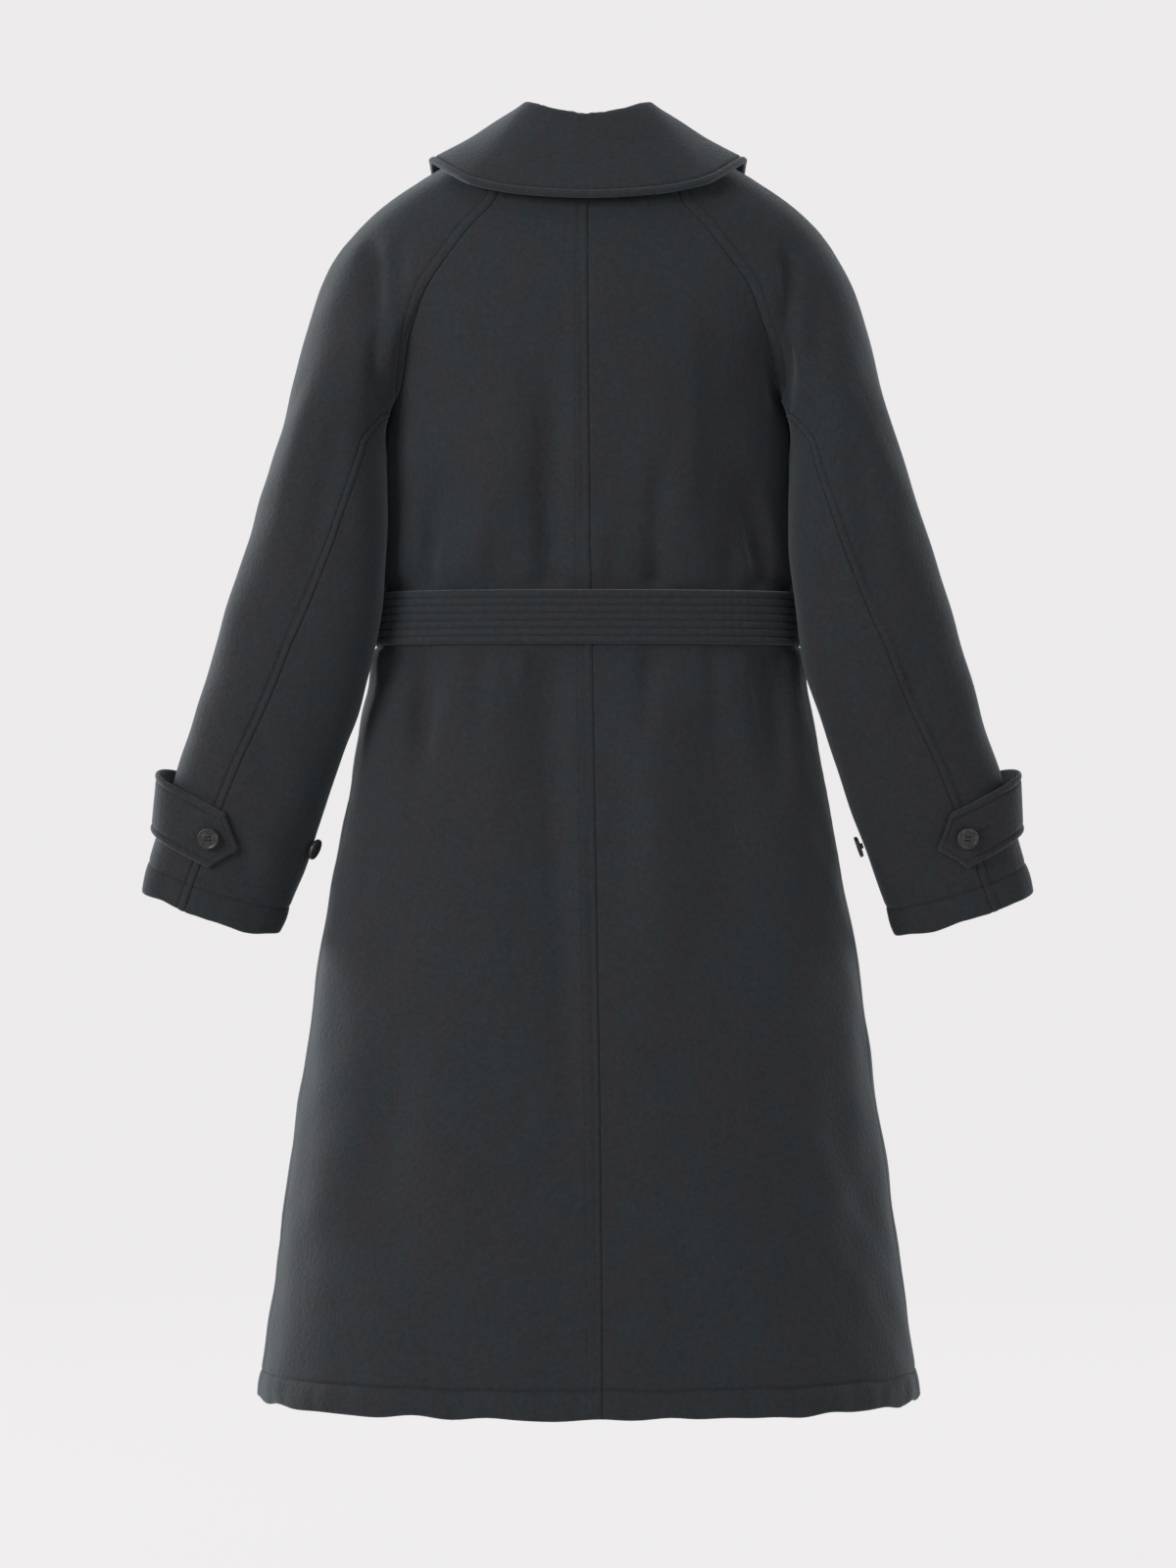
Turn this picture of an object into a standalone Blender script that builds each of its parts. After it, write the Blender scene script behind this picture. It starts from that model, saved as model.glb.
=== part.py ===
"""Padded raglan trench coat with a stitched belt, hollow and filled out as it is worn.

The origin is the middle of the neck, level with the shoulder ends of the neckline. +X is the wearer's right,
+Y the way the wearer faces and +Z up. Every panel is a closed wall between an outer and an inner grid of points.
"""

import math

import bmesh
import bpy
import numpy as np

for existing in list(bpy.data.objects):
    bpy.data.objects.remove(existing, do_unlink=True)

# Driving dimensions in metres and degrees.
COAT_LENGTH = 1.159
WALL = 0.005
SEAM_GAP = 0.0003
LAYER_GAP = 0.0010
REST_GAP = 0.0005
FULLNESS = 2.3
SIDE_SEAM_ANGLE = 81.0
ARMPIT_HEIGHT = -0.243
NECK_HEIGHT = 0.006
BACK_SEAM_SHIFT = 0.013
FRONT_OVERLAP = 0.042
OVERLAP_RAMP = 0.050

BELT_HEIGHT = -0.433
BELT_WIDTH = 0.050
BELT_THICKNESS = 0.0045
BELT_CHANNELS = 7
BELT_CHANNEL_RISE = 0.0012
BELT_STATIONS = 60

COLLAR_WALL = 0.005
COLLAR_STATIONS = 37
COLLAR_GAP = 0.0010
COLLAR_ROLL = 0.0085
COLLAR_SHARES = (0.0, 0.12, 0.24, 0.34, 0.42, 0.50, 0.62, 0.80, 1.0)

TAB_THICKNESS = 0.004
TAB_WIDTH = 0.055
TAB_STAND_OFF = 0.013
TAB_FROM_CUFF = 0.077
TAB_RISE = 0.008
TAB_START = -100.0
TAB_CORNER = 78.0
TAB_TIP = 93.0
TAB_COLUMNS = 19
TAB_BUTTON_TURN = 73.0
CUFF_BUTTON_FROM_EDGE = 0.092
CUFF_BUTTON_TURNS = (178.0, 165.0)

KNOT_ACROSS = -0.012
KNOT_SIZE = (0.024, 0.0125, 0.031)
TAIL_LENGTHS = (0.34, 0.30)
TAIL_NECK = 0.0125
TAIL_SPREAD = 0.040
TAIL_CLEAR = 0.0015

BUTTON_RADIUS = 0.0102
BUTTON_THICKNESS = 0.0040
SHANK_LENGTH = 0.0020

CAP_SHARE = 0.42
CAP_EASE = 8.5
CAP_EASE_STEPS = (-1.8, -1.2, -0.6, 0.0, 0.6, 1.2, 1.8)
ARMPIT_FLARE = 0.55
NECK_ARC = 14.0
UPPER_ROWS = 9
BACK_COLUMNS = 16
FRONT_COLUMNS = 15
CAP_ROWS = 8
ARM_ROWS = 10

# One row for each level section of the body, from hem to neck.
BODY_COLUMNS = ("height", "half_width", "middle", "back_depth", "front_depth")
BODY = (
    (-1.159, 0.3100, 0.010, 0.190, 0.190),
    (-1.046, 0.2945, 0.011, 0.177, 0.180),
    (-0.862, 0.2680, 0.013, 0.156, 0.160),
    (-0.679, 0.2400, 0.015, 0.133, 0.138),
    (-0.587, 0.2225, 0.016, 0.120, 0.127),
    (-0.520, 0.2105, 0.016, 0.109, 0.114),
    (-0.466, 0.1980, 0.016, 0.100, 0.104),
    (-0.433, 0.1960, 0.016, 0.099, 0.103),
    (-0.400, 0.1950, 0.016, 0.100, 0.105),
    (-0.350, 0.1920, 0.017, 0.117, 0.122),
    (-0.290, 0.1900, 0.015, 0.130, 0.134),
    (-0.243, 0.1880, 0.014, 0.132, 0.135),
    (-0.200, 0.1940, 0.012, 0.134, 0.133),
    (-0.160, 0.2110, 0.009, 0.131, 0.127),
    (-0.120, 0.2250, 0.004, 0.122, 0.116),
    (-0.085, 0.2190, 0.002, 0.112, 0.098),
    (-0.050, 0.2030, 0.001, 0.099, 0.083),
    (-0.020, 0.1680, 0.000, 0.084, 0.062),
    (0.006, 0.0850, 0.000, 0.068, 0.045),
    (0.020, 0.0200, 0.000, 0.058, 0.036),
)

# Places on the neckline and down the raglan seams: distance from the middle and height.
SEAM_COLUMNS = ("across", "height")
RAGLAN_BACK = (
    (0.0600, 0.005),
    (0.0831, -0.0453),
    (0.1120, -0.0803),
    (0.1384, -0.1161),
    (0.1574, -0.1543),
    (0.1678, -0.1888),
    (0.1745, -0.2230),
)
RAGLAN_FRONT = (
    (0.0750, -0.012),
    (0.1020, -0.0680),
    (0.1330, -0.1150),
    (0.1560, -0.1600),
    (0.1730, -0.2000),
    (0.1815, -0.2310),
)
NECK_BACK = ((0.0, 0.004), (0.030, 0.0043), (0.060, 0.005))
NECK_FRONT = ((0.0, -0.075), (0.030, -0.068), (0.055, -0.048), (0.075, -0.012))

# One row for each section of the sleeve below its cap, square to the arm.
SLEEVE_COLUMNS = ("across", "forward", "height", "half_width", "half_depth")
SLEEVE = (
    (0.2370, -0.026, -0.277, 0.0505, 0.0690),
    (0.2500, -0.040, -0.364, 0.0640, 0.0590),
    (0.2715, -0.038, -0.463, 0.0722, 0.0500),
    (0.3020, -0.022, -0.557, 0.0712, 0.0450),
    (0.3335, -0.002, -0.649, 0.0702, 0.0400),
    (0.3530, 0.012, -0.707, 0.0690, 0.0360),
)

# How far the sleeve's two seams have turned round the arm, down its length.
TWIST_COLUMNS = ("share", "turn")
TWIST = ((0.0, 0.0), (0.21, 10.0), (0.42, 46.0), (0.56, 80.0), (0.70, 95.0), (0.85, 105.0), (1.0, 110.0))

# One row for each station round half of the collar: its seam on the neckline, its roll and its outer edge.
COLLAR_COLUMNS = ("roll_x", "roll_y", "roll_z", "edge_x", "edge_y", "edge_z")
COLLAR = (
    (0.000, -0.0765, 0.0280, 0.000, -0.1165, -0.0520),
    (0.033, -0.0700, 0.0340, 0.058, -0.1125, -0.0485),
    (0.057, -0.0470, 0.0425, 0.108, -0.0990, -0.0375),
    (0.065, -0.0040, 0.0370, 0.1480, -0.0180, -0.0075),
    (0.064, 0.0450, 0.0190, 0.146, 0.0560, -0.0270),
    (0.060, 0.0820, -0.0170, 0.136, 0.1100, -0.0930),
    (0.036, 0.1020, -0.0440, 0.100, 0.1440, -0.1420),
    (0.009, 0.1080, -0.0540, 0.062, 0.1590, -0.1720),
)

# One row for each large fold of the body: where it lies round the coat at its top and foot, and how deep it is.
FOLD_COLUMNS = ("top_angle", "foot_angle", "top", "foot", "half_angle", "rise")
FOLDS = (
    (-11.0, -9.0, -0.150, -0.395, 6.5, -0.0075),
    (18.0, 15.0, -0.080, -0.395, 6.5, 0.0055),
    (-46.0, -41.0, -0.280, -0.395, 6.0, -0.0060),
    (44.0, 49.0, -0.270, -0.395, 6.5, -0.0065),
    (-27.0, -25.0, -0.260, -0.395, 7.0, 0.0045),
    (-10.0, -7.0, -0.470, -0.900, 6.5, -0.0085),
    (15.0, 14.0, -0.490, -0.860, 7.5, 0.0065),
    (-44.0, -43.0, -0.470, -0.640, 6.0, -0.0065),
    (50.0, 47.0, -0.470, -0.620, 6.0, -0.0065),
    (32.0, 36.0, -0.500, -1.000, 8.0, -0.0040),
    (140.0, 146.0, -0.240, -0.395, 8.0, -0.0060),
    (-138.0, -146.0, -0.240, -0.395, 8.0, -0.0060),
    (148.0, 150.0, -0.470, -0.900, 7.0, -0.0070),
    (-146.0, -150.0, -0.470, -0.940, 7.0, -0.0070),
)

CLOTH_COLOUR = (0.028, 0.031, 0.035, 1.0)
BELT_COLOUR = (0.031, 0.034, 0.038, 1.0)
BUTTON_COLOUR = (0.012, 0.011, 0.011, 1.0)


def spline(stations, values, at):
    """Values between table rows, on a smooth curve that doesn't pass beyond them."""
    stations = np.asarray(stations, float)
    values = np.asarray(values, float)
    step = np.diff(stations)
    slope = np.diff(values) / step
    tangent = np.empty_like(values)
    tangent[0] = slope[0]
    tangent[-1] = slope[-1]
    same = slope[:-1] * slope[1:] > 0
    safe = np.where(same, slope[:-1] + slope[1:], 1.0)
    tangent[1:-1] = np.where(same, 2 * slope[:-1] * slope[1:] / safe, 0.0)
    at = np.asarray(at, float)
    k = np.clip(np.searchsorted(stations, at) - 1, 0, len(step) - 1)
    t = (at - stations[k]) / step[k]
    rise = values[k] + step[k] * tangent[k] * t
    bend = 3 * (values[k + 1] - values[k]) - step[k] * (2 * tangent[k] + tangent[k + 1])
    curl = 2 * (values[k] - values[k + 1]) + step[k] * (tangent[k] + tangent[k + 1])
    return rise + bend * t**2 + curl * t**3


def smooth(low, high, value):
    """0 below low, 1 above high and an even rise between."""
    t = np.clip((np.asarray(value, float) - low) / (high - low), 0.0, 1.0)
    return t * t * (3 - 2 * t)


def unit(vectors):
    return vectors / np.linalg.norm(vectors, axis=-1, keepdims=True)


def body_size(name, height):
    rows = np.array(BODY)
    return spline(rows[:, 0], rows[:, BODY_COLUMNS.index(name)], height)


def folds(angle, height):
    """How far the folds raise or sink the cloth."""
    total = np.zeros(np.broadcast(angle, height).shape)
    for row in FOLDS:
        fold = dict(zip(FOLD_COLUMNS, row))
        share = np.clip((fold["top"] - height) / (fold["top"] - fold["foot"]), 0, 1)
        middle = fold["top_angle"] + share * (fold["foot_angle"] - fold["top_angle"])
        across = np.exp(-(((np.degrees(angle) - middle) / fold["half_angle"]) ** 2))
        length = fold["top"] - fold["foot"]
        near_belt = fold["foot"] > BELT_HEIGHT
        ease_top = 0.55 * length if near_belt else 0.030
        ease_foot = 0.030 if near_belt else 0.75 * length
        along = smooth(fold["foot"], fold["foot"] + ease_foot, height)
        along = along * (1 - smooth(fold["top"] - ease_top, fold["top"], height))
        total = total + fold["rise"] * across * along
    return total


def body_point(angle, height):
    """The coat's outer surface: a flattened ring at each height, with the folds across it."""
    angle, height = np.broadcast_arrays(np.asarray(angle, float), np.asarray(height, float))
    sine = np.sin(angle)
    cosine = np.cos(angle)
    power = 2 / FULLNESS
    out = np.sign(sine) * np.abs(sine) ** power
    back = np.sign(cosine) * np.abs(cosine) ** power
    depth = np.where(cosine > 0, body_size("back_depth", height), body_size("front_depth", height))
    raised = folds(angle, height)
    x = (body_size("half_width", height) + raised) * out
    y = body_size("middle", height) - (depth + raised) * back
    return np.stack([x, y, height], axis=-1)


def body_normal(angle, height):
    small = 0.004
    round_it = body_point(angle + small, height) - body_point(angle - small, height)
    up = body_point(angle, height + small) - body_point(angle, height - small)
    return unit(np.cross(round_it, up))


def angle_at(across, height, front):
    """The angle round the ring, from the centre back, of a place given by its distance from the middle."""
    share = np.clip(np.asarray(across, float) / body_size("half_width", height), 0.0, 1.0)
    angle = np.arcsin(share ** (FULLNESS / 2))
    return np.pi - angle if front else angle


def line_of(table, front, end_angle=None):
    """Angles and heights down a seam, with its own length as the share from 0 to 1."""
    rows = np.array(table)
    angles = angle_at(rows[:, 0], rows[:, 1], front)
    heights = rows[:, 1]
    if end_angle is not None:
        angles = np.append(angles, end_angle)
        heights = np.append(heights, ARMPIT_HEIGHT)
    points = body_point(angles, heights)
    length = np.append(0.0, np.cumsum(np.linalg.norm(np.diff(points, axis=0), axis=1)))
    return length / length[-1], angles, heights


SIDE = math.radians(SIDE_SEAM_ANGLE)
BACK_LINE = line_of(RAGLAN_BACK, False, SIDE)
FRONT_LINE = line_of(RAGLAN_FRONT, True, SIDE)
NECK_BACK_LINE = line_of(NECK_BACK, False)
NECK_FRONT_LINE = line_of(NECK_FRONT, True)


def along(line, share):
    return spline(line[0], line[1], share), spline(line[0], line[2], share)


def armhole(turn):
    """The seam where the sleeve joins neckline and body, at turns of 0 to 360 degrees from the shoulder."""
    turn = np.mod(turn, 360.0)
    back_share = np.clip((turn - NECK_ARC) / (180 - NECK_ARC), 0, 1)
    front_share = np.clip((360 - NECK_ARC - turn) / (180 - NECK_ARC), 0, 1)
    back_angle, back_height = along(BACK_LINE, back_share)
    front_angle, front_height = along(FRONT_LINE, front_share)
    is_back = turn <= 180
    angle = np.where(is_back, back_angle, front_angle)
    height = np.where(is_back, back_height, front_height)
    near = np.clip(np.where(is_back, turn, 360 - turn) / NECK_ARC, 0, 1)
    angle = np.pi / 2 + near * (angle - np.pi / 2)
    height = NECK_HEIGHT + near * (height - NECK_HEIGHT)
    return angle, height


def armhole_point(turn):
    return body_point(*armhole(turn))


def sleeve_ring(share):
    """Centre, outward direction, backward direction, down direction and half sizes of the sleeve below its cap."""
    rows = np.array(SLEEVE)
    length = np.append(0.0, np.cumsum(np.linalg.norm(np.diff(rows[:, :3], axis=0), axis=1)))
    at = share * length[-1]
    values = [spline(length, rows[:, k], at) for k in range(5)]
    small = 0.02 * length[-1]
    ahead = np.stack([spline(length, rows[:, k], np.minimum(at + small, length[-1])) for k in range(3)], -1)
    behind = np.stack([spline(length, rows[:, k], np.maximum(at - small, 0)) for k in range(3)], -1)
    down = unit(ahead - behind)
    backward = np.cross(down, np.array([1.0, 0.0, 0.0]))
    backward = unit(np.where(backward[..., 1:2] > 0, -backward, backward))
    outward = np.cross(backward, down)
    outward = unit(np.where(outward[..., :1] < 0, -outward, outward))
    return np.stack(values[:3], -1), outward, backward, down, values[3], values[4]


def ring_point(turn, share):
    centre, outward, backward, down, half_width, half_depth = sleeve_ring(share)
    a = np.radians(turn)
    power = 2 / 2.15
    out = np.sign(np.cos(a)) * np.abs(np.cos(a)) ** power
    back = np.sign(np.sin(a)) * np.abs(np.sin(a)) ** power
    return centre + (half_width * out)[..., None] * outward + (half_depth * back)[..., None] * backward


def cap_start(turn):
    """Start of the cap: the armhole seam, and the direction in which the sleeve leaves it."""
    small = 0.7
    angle, height = armhole(turn)
    seam = armhole_point(turn)
    run = armhole_point(turn + small) - armhole_point(turn - small)
    facing = body_normal(angle, height)
    leave = unit(np.cross(facing, run))
    centre, outward, backward, down, half_width, half_depth = sleeve_ring(np.zeros(np.shape(turn)))
    from_top = np.abs(np.mod(turn + 180, 360) - 180)
    over = (1 - smooth(10, 60, from_top))[..., None]
    side = np.sin(np.radians(turn))
    level = np.stack([np.full(side.shape, 0.97), -0.50 * side, np.full(side.shape, -0.17)], axis=-1)
    level = level - facing * (level * facing).sum(-1, keepdims=True)
    leave = unit((1 - over) * leave + over * unit(level))
    arm = smooth(70, 160, from_top)[..., None]
    clear = down + ARMPIT_FLARE * facing
    leave = unit((1 - arm) * leave + arm * clear)
    return seam, leave, down


def plain_sleeve(turn, share):
    """The right sleeve: a cap from the armhole to the first ring, then rings to the cuff."""
    turn, share = np.broadcast_arrays(np.asarray(turn, float), np.asarray(share, float))
    seam, leave, down = cap_start(turn)
    ring = ring_point(turn, np.zeros(turn.shape))
    reach = np.linalg.norm(ring - seam, axis=-1)
    from_top = np.abs(np.mod(turn + 180, 360) - 180)
    over = 1 - smooth(0, 75, from_top)
    first = seam + ((0.30 + 0.25 * over) * reach)[..., None] * leave
    run = unit(ring_point(turn, np.full(turn.shape, 0.04)) - ring)
    second = ring - ((0.27 + 0.09 * over) * reach)[..., None] * run
    t = np.minimum(share / CAP_SHARE, 1.0)[..., None]
    cap = (1 - t) ** 3 * seam + 3 * (1 - t) ** 2 * t * first + 3 * (1 - t) * t**2 * second + t**3 * ring
    arm = ring_point(turn, np.clip((share - CAP_SHARE) / (1 - CAP_SHARE), 0, 1))
    return np.where((share > CAP_SHARE)[..., None], arm, cap)


def sleeve_point(turn, share):
    """The right sleeve's outer surface, averaged over the shoulder so that the neckline's corners fade out."""
    turn, share = np.broadcast_arrays(np.asarray(turn, float), np.asarray(share, float))
    from_top = np.abs(np.mod(turn + 180, 360) - 180)
    spread = CAP_EASE * smooth(0, 0.08, share) * (1 - smooth(0.28, CAP_SHARE, share))
    spread = spread * (1 - smooth(35, 75, from_top))
    weights = np.exp(-np.square(CAP_EASE_STEPS) / 2)
    total = np.zeros(turn.shape + (3,))
    for step, weight in zip(CAP_EASE_STEPS, weights / weights.sum()):
        total = total + weight * plain_sleeve(turn + step * spread, share)
    return total


def sleeve_normal(turn, share):
    small = 0.006
    round_it = sleeve_point(turn + 0.7, share) - sleeve_point(turn - 0.7, share)
    low = np.clip(share + small, 0, 1)
    high = np.clip(share - small, -0.01, 1)
    down = sleeve_point(turn, low) - sleeve_point(turn, high)
    return unit(np.cross(round_it, down))


def armhole_normal(turn):
    """One shared direction for the walls on both sides of the armhole seam."""
    angle, height = armhole(turn)
    shared = body_normal(angle, height) + sleeve_normal(turn, np.full(np.shape(turn), 0.012))
    return unit(shared)


def pull_in(outer, inner, edges):
    """Moves the named edges of both grids back from a seam by half of its gap."""
    moves = []
    for edge in edges:
        if edge == "first_row":
            moves.append((np.s_[0, :], outer[1, :] - outer[0, :]))
        if edge == "last_row":
            moves.append((np.s_[-1, :], outer[-2, :] - outer[-1, :]))
        if edge == "first_column":
            moves.append((np.s_[:, 0], outer[:, 1] - outer[:, 0]))
        if edge == "last_column":
            moves.append((np.s_[:, -1], outer[:, -2] - outer[:, -1]))
    for place, way in moves:
        step = unit(way) * SEAM_GAP / 2
        outer[place] += step
        inner[place] += step
    return outer, inner


def material(name, colour, roughness):
    made = bpy.data.materials.new(name)
    made.use_nodes = True
    shader = made.node_tree.nodes["Principled BSDF"]
    shader.inputs["Base Color"].default_value = colour
    shader.inputs["Roughness"].default_value = roughness
    made.diffuse_color = colour
    return made


def solid(name, points, faces, colour, roughness):
    """One closed body with its faces turned outwards."""
    mesh = bpy.data.meshes.new(name)
    mesh.from_pydata([tuple(p) for p in points], [], faces)
    shape = bmesh.new()
    shape.from_mesh(mesh)
    bmesh.ops.recalc_face_normals(shape, faces=shape.faces)
    shape.to_mesh(mesh)
    shape.free()
    mesh.materials.append(material(name + "_cloth", colour, roughness))
    made = bpy.data.objects.new(name, mesh)
    bpy.context.scene.collection.objects.link(made)
    return made


def wall(name, outer, inner, colour=CLOTH_COLOUR, turned=False):
    """A wall between two grids of points, closed along its four edges.

    Each edge is split into triangles the same way on both sides of a seam, so that they stay parallel.
    """
    rows, columns = outer.shape[:2]
    points = np.concatenate([outer.reshape(-1, 3), inner.reshape(-1, 3)])
    index = np.arange(rows * columns).reshape(rows, columns)
    under = index + rows * columns
    faces = []
    for r in range(rows - 1):
        for c in range(columns - 1):
            faces.append((index[r, c], index[r, c + 1], index[r + 1, c + 1], index[r + 1, c]))
            faces.append((under[r, c], under[r + 1, c], under[r + 1, c + 1], under[r, c + 1]))
    edges = ((index[0], under[0]), (index[-1], under[-1]), (index[:, 0], under[:, 0]), (index[:, -1], under[:, -1]))
    for number, (top, low) in enumerate(edges):
        if turned and number < 2:
            top = top[::-1]
            low = low[::-1]
        for k in range(len(top) - 1):
            faces.append((top[k], top[k + 1], low[k + 1]))
            faces.append((top[k], low[k + 1], low[k]))
    return solid(name, points, [tuple(int(v) for v in face) for face in faces], colour, 0.9)


def tube(name, rings, colour, roughness=0.9):
    """A closed body through rings of points, round once and joined to its start."""
    count, size = rings.shape[:2]
    index = np.arange(count * size).reshape(count, size)
    faces = []
    for r in range(count):
        for c in range(size):
            nxt = (r + 1) % count
            faces.append((index[r, c], index[r, (c + 1) % size], index[nxt, (c + 1) % size], index[nxt, c]))
    return solid(name, rings.reshape(-1, 3), [tuple(int(v) for v in f) for f in faces], colour, roughness)


def capped(name, rings, colour, roughness=0.9):
    """A closed body through rings of points with its first and last rings filled."""
    count, size = rings.shape[:2]
    index = np.arange(count * size).reshape(count, size)
    faces = [tuple(int(v) for v in index[0]), tuple(int(v) for v in index[-1])]
    for r in range(count - 1):
        for c in range(size):
            around = (index[r, c], index[r, (c + 1) % size], index[r + 1, (c + 1) % size], index[r + 1, c])
            faces.append(tuple(int(v) for v in around))
    return solid(name, rings.reshape(-1, 3), faces, colour, roughness)


LOWER_HEIGHTS = np.array(
    [-COAT_LENGTH, -1.05, -0.95, -0.85, -0.76, -0.67, -0.60, -0.54, -0.495]
    + [BELT_HEIGHT - 0.033, BELT_HEIGHT, BELT_HEIGHT + 0.033]
    + [-0.37, -0.335, -0.30, -0.268, ARMPIT_HEIGHT]
)


def back_seam_angle(height):
    """The centre-back seam leans a little to the wearer's right towards the hem."""
    across = BACK_SEAM_SHIFT * smooth(0.05, 1.15, -np.asarray(height, float))
    return angle_at(across, height, False)


def back_panel(side):
    """Half of the back: level rows up to the armpit, then rows that climb to the raglan seam and the neckline."""
    share = np.linspace(1, 0, UPPER_ROWS + 1)[1:]
    seam_angle, seam_height = along(BACK_LINE, share)
    rise = (seam_height - ARMPIT_HEIGHT) / (seam_height[-1] - ARMPIT_HEIGHT)
    middle_height = ARMPIT_HEIGHT + rise * (NECK_BACK[0][1] - ARMPIT_HEIGHT)
    start_height = np.append(LOWER_HEIGHTS, middle_height)
    end_height = np.append(LOWER_HEIGHTS, seam_height)
    end_angle = np.append(np.full(len(LOWER_HEIGHTS), SIDE), seam_angle) * side
    start_angle = back_seam_angle(start_height)
    across = np.linspace(0, 1, BACK_COLUMNS + 1)[None, :]
    angle = start_angle[:, None] + (end_angle - start_angle)[:, None] * across
    height = start_height[:, None] + (end_height - start_height)[:, None] * smooth(0, 1, across)
    neck_angle, neck_height = along(NECK_BACK_LINE, across[0])
    angle[-1] = neck_angle * side
    angle[-1, 0] = start_angle[-1]
    height[-1] = neck_height
    outer = body_point(angle, height)
    normal = body_normal(angle, height)
    count = len(LOWER_HEIGHTS) - 1
    turn = np.append(180.0, NECK_ARC + share * (180 - NECK_ARC))
    shared = armhole_normal(turn) * np.array([side, 1, 1])
    normal[count:, -1] = shared
    inner = outer - normal * WALL
    outer, inner = pull_in(outer, inner, ("first_column", "last_column"))
    name = "back_right" if side > 0 else "back_left"
    return wall(name, outer, inner)


def front_panel(side):
    """Half of the front, past the middle by the overlap; the wearer's right half lies over the left."""
    share = np.linspace(1, 0, UPPER_ROWS + 1)[1:]
    seam_angle, seam_height = along(FRONT_LINE, share)
    rise = (seam_height - ARMPIT_HEIGHT) / (seam_height[-1] - ARMPIT_HEIGHT)
    edge_top = NECK_FRONT[0][1]
    middle_height = ARMPIT_HEIGHT + rise * (edge_top - ARMPIT_HEIGHT)
    start_height = np.append(LOWER_HEIGHTS, middle_height)
    end_height = np.append(LOWER_HEIGHTS, seam_height)
    end_angle = np.append(np.full(len(LOWER_HEIGHTS), SIDE), seam_angle)
    start_angle = 2 * np.pi - angle_at(FRONT_OVERLAP, start_height, True)
    across = np.linspace(0, 1, FRONT_COLUMNS + 1)[None, :]
    angle = start_angle[:, None] + (end_angle - start_angle)[:, None] * across
    height = start_height[:, None] + (end_height - start_height)[:, None] * smooth(0, 1, across)
    past = 3
    inside = np.linspace(0, 1, FRONT_COLUMNS + 1 - past)
    neck_angle, neck_height = along(NECK_FRONT_LINE, inside)
    angle[-1, past:] = neck_angle
    height[-1, past:] = neck_height
    angle[-1, :past] = np.linspace(start_angle[-1], np.pi, past, endpoint=False)
    height[-1, :past] = edge_top
    outer = body_point(angle * side, height)
    normal = body_normal(angle * side, height)
    count = len(LOWER_HEIGHTS) - 1
    turn = np.append(180.0, 360 - NECK_ARC - share * (180 - NECK_ARC))
    shared = armhole_normal(turn) * np.array([side, 1, 1])
    if side < 0:
        beneath = smooth(-FRONT_OVERLAP - 0.010 - OVERLAP_RAMP, -FRONT_OVERLAP - 0.010, outer[..., 0])
        outer = outer - normal * ((WALL + LAYER_GAP) * beneath)[..., None]
    normal[count:, -1] = shared
    inner = outer - normal * WALL
    outer, inner = pull_in(outer, inner, ("last_column",))
    name = "front_right" if side > 0 else "front_left"
    return wall(name, outer, inner)


def twist(share):
    rows = np.array(TWIST)
    return spline(rows[:, 0], rows[:, 1], share)


SLEEVE_SHARES = np.append(
    np.linspace(0, CAP_SHARE, CAP_ROWS + 1), np.linspace(CAP_SHARE, 1, ARM_ROWS + 1)[1:]
)


def sleeve_piece(side, back):
    """Half of a raglan sleeve, between the seam over the arm and the seam under it."""
    share = np.linspace(0, 1, UPPER_ROWS + 1)
    neck = np.linspace(0, NECK_ARC, 3)[:-1]
    columns = np.append(neck, NECK_ARC + share * (180 - NECK_ARC))
    if not back:
        columns = 360 - columns[::-1]
    turn = columns[None, :] - twist(SLEEVE_SHARES)[:, None]
    shares = np.broadcast_to(SLEEVE_SHARES[:, None], turn.shape)
    outer = sleeve_point(turn, shares)
    normal = sleeve_normal(turn, shares)
    normal[0] = armhole_normal(turn[0])
    inner = outer - normal * WALL
    mirror = np.array([side, 1, 1])
    outer, inner = pull_in(outer * mirror, inner * mirror, ("first_row", "first_column", "last_column"))
    name = ("sleeve_back_" if back else "sleeve_front_") + ("right" if side > 0 else "left")
    return wall(name, outer, inner, turned=back)


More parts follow.
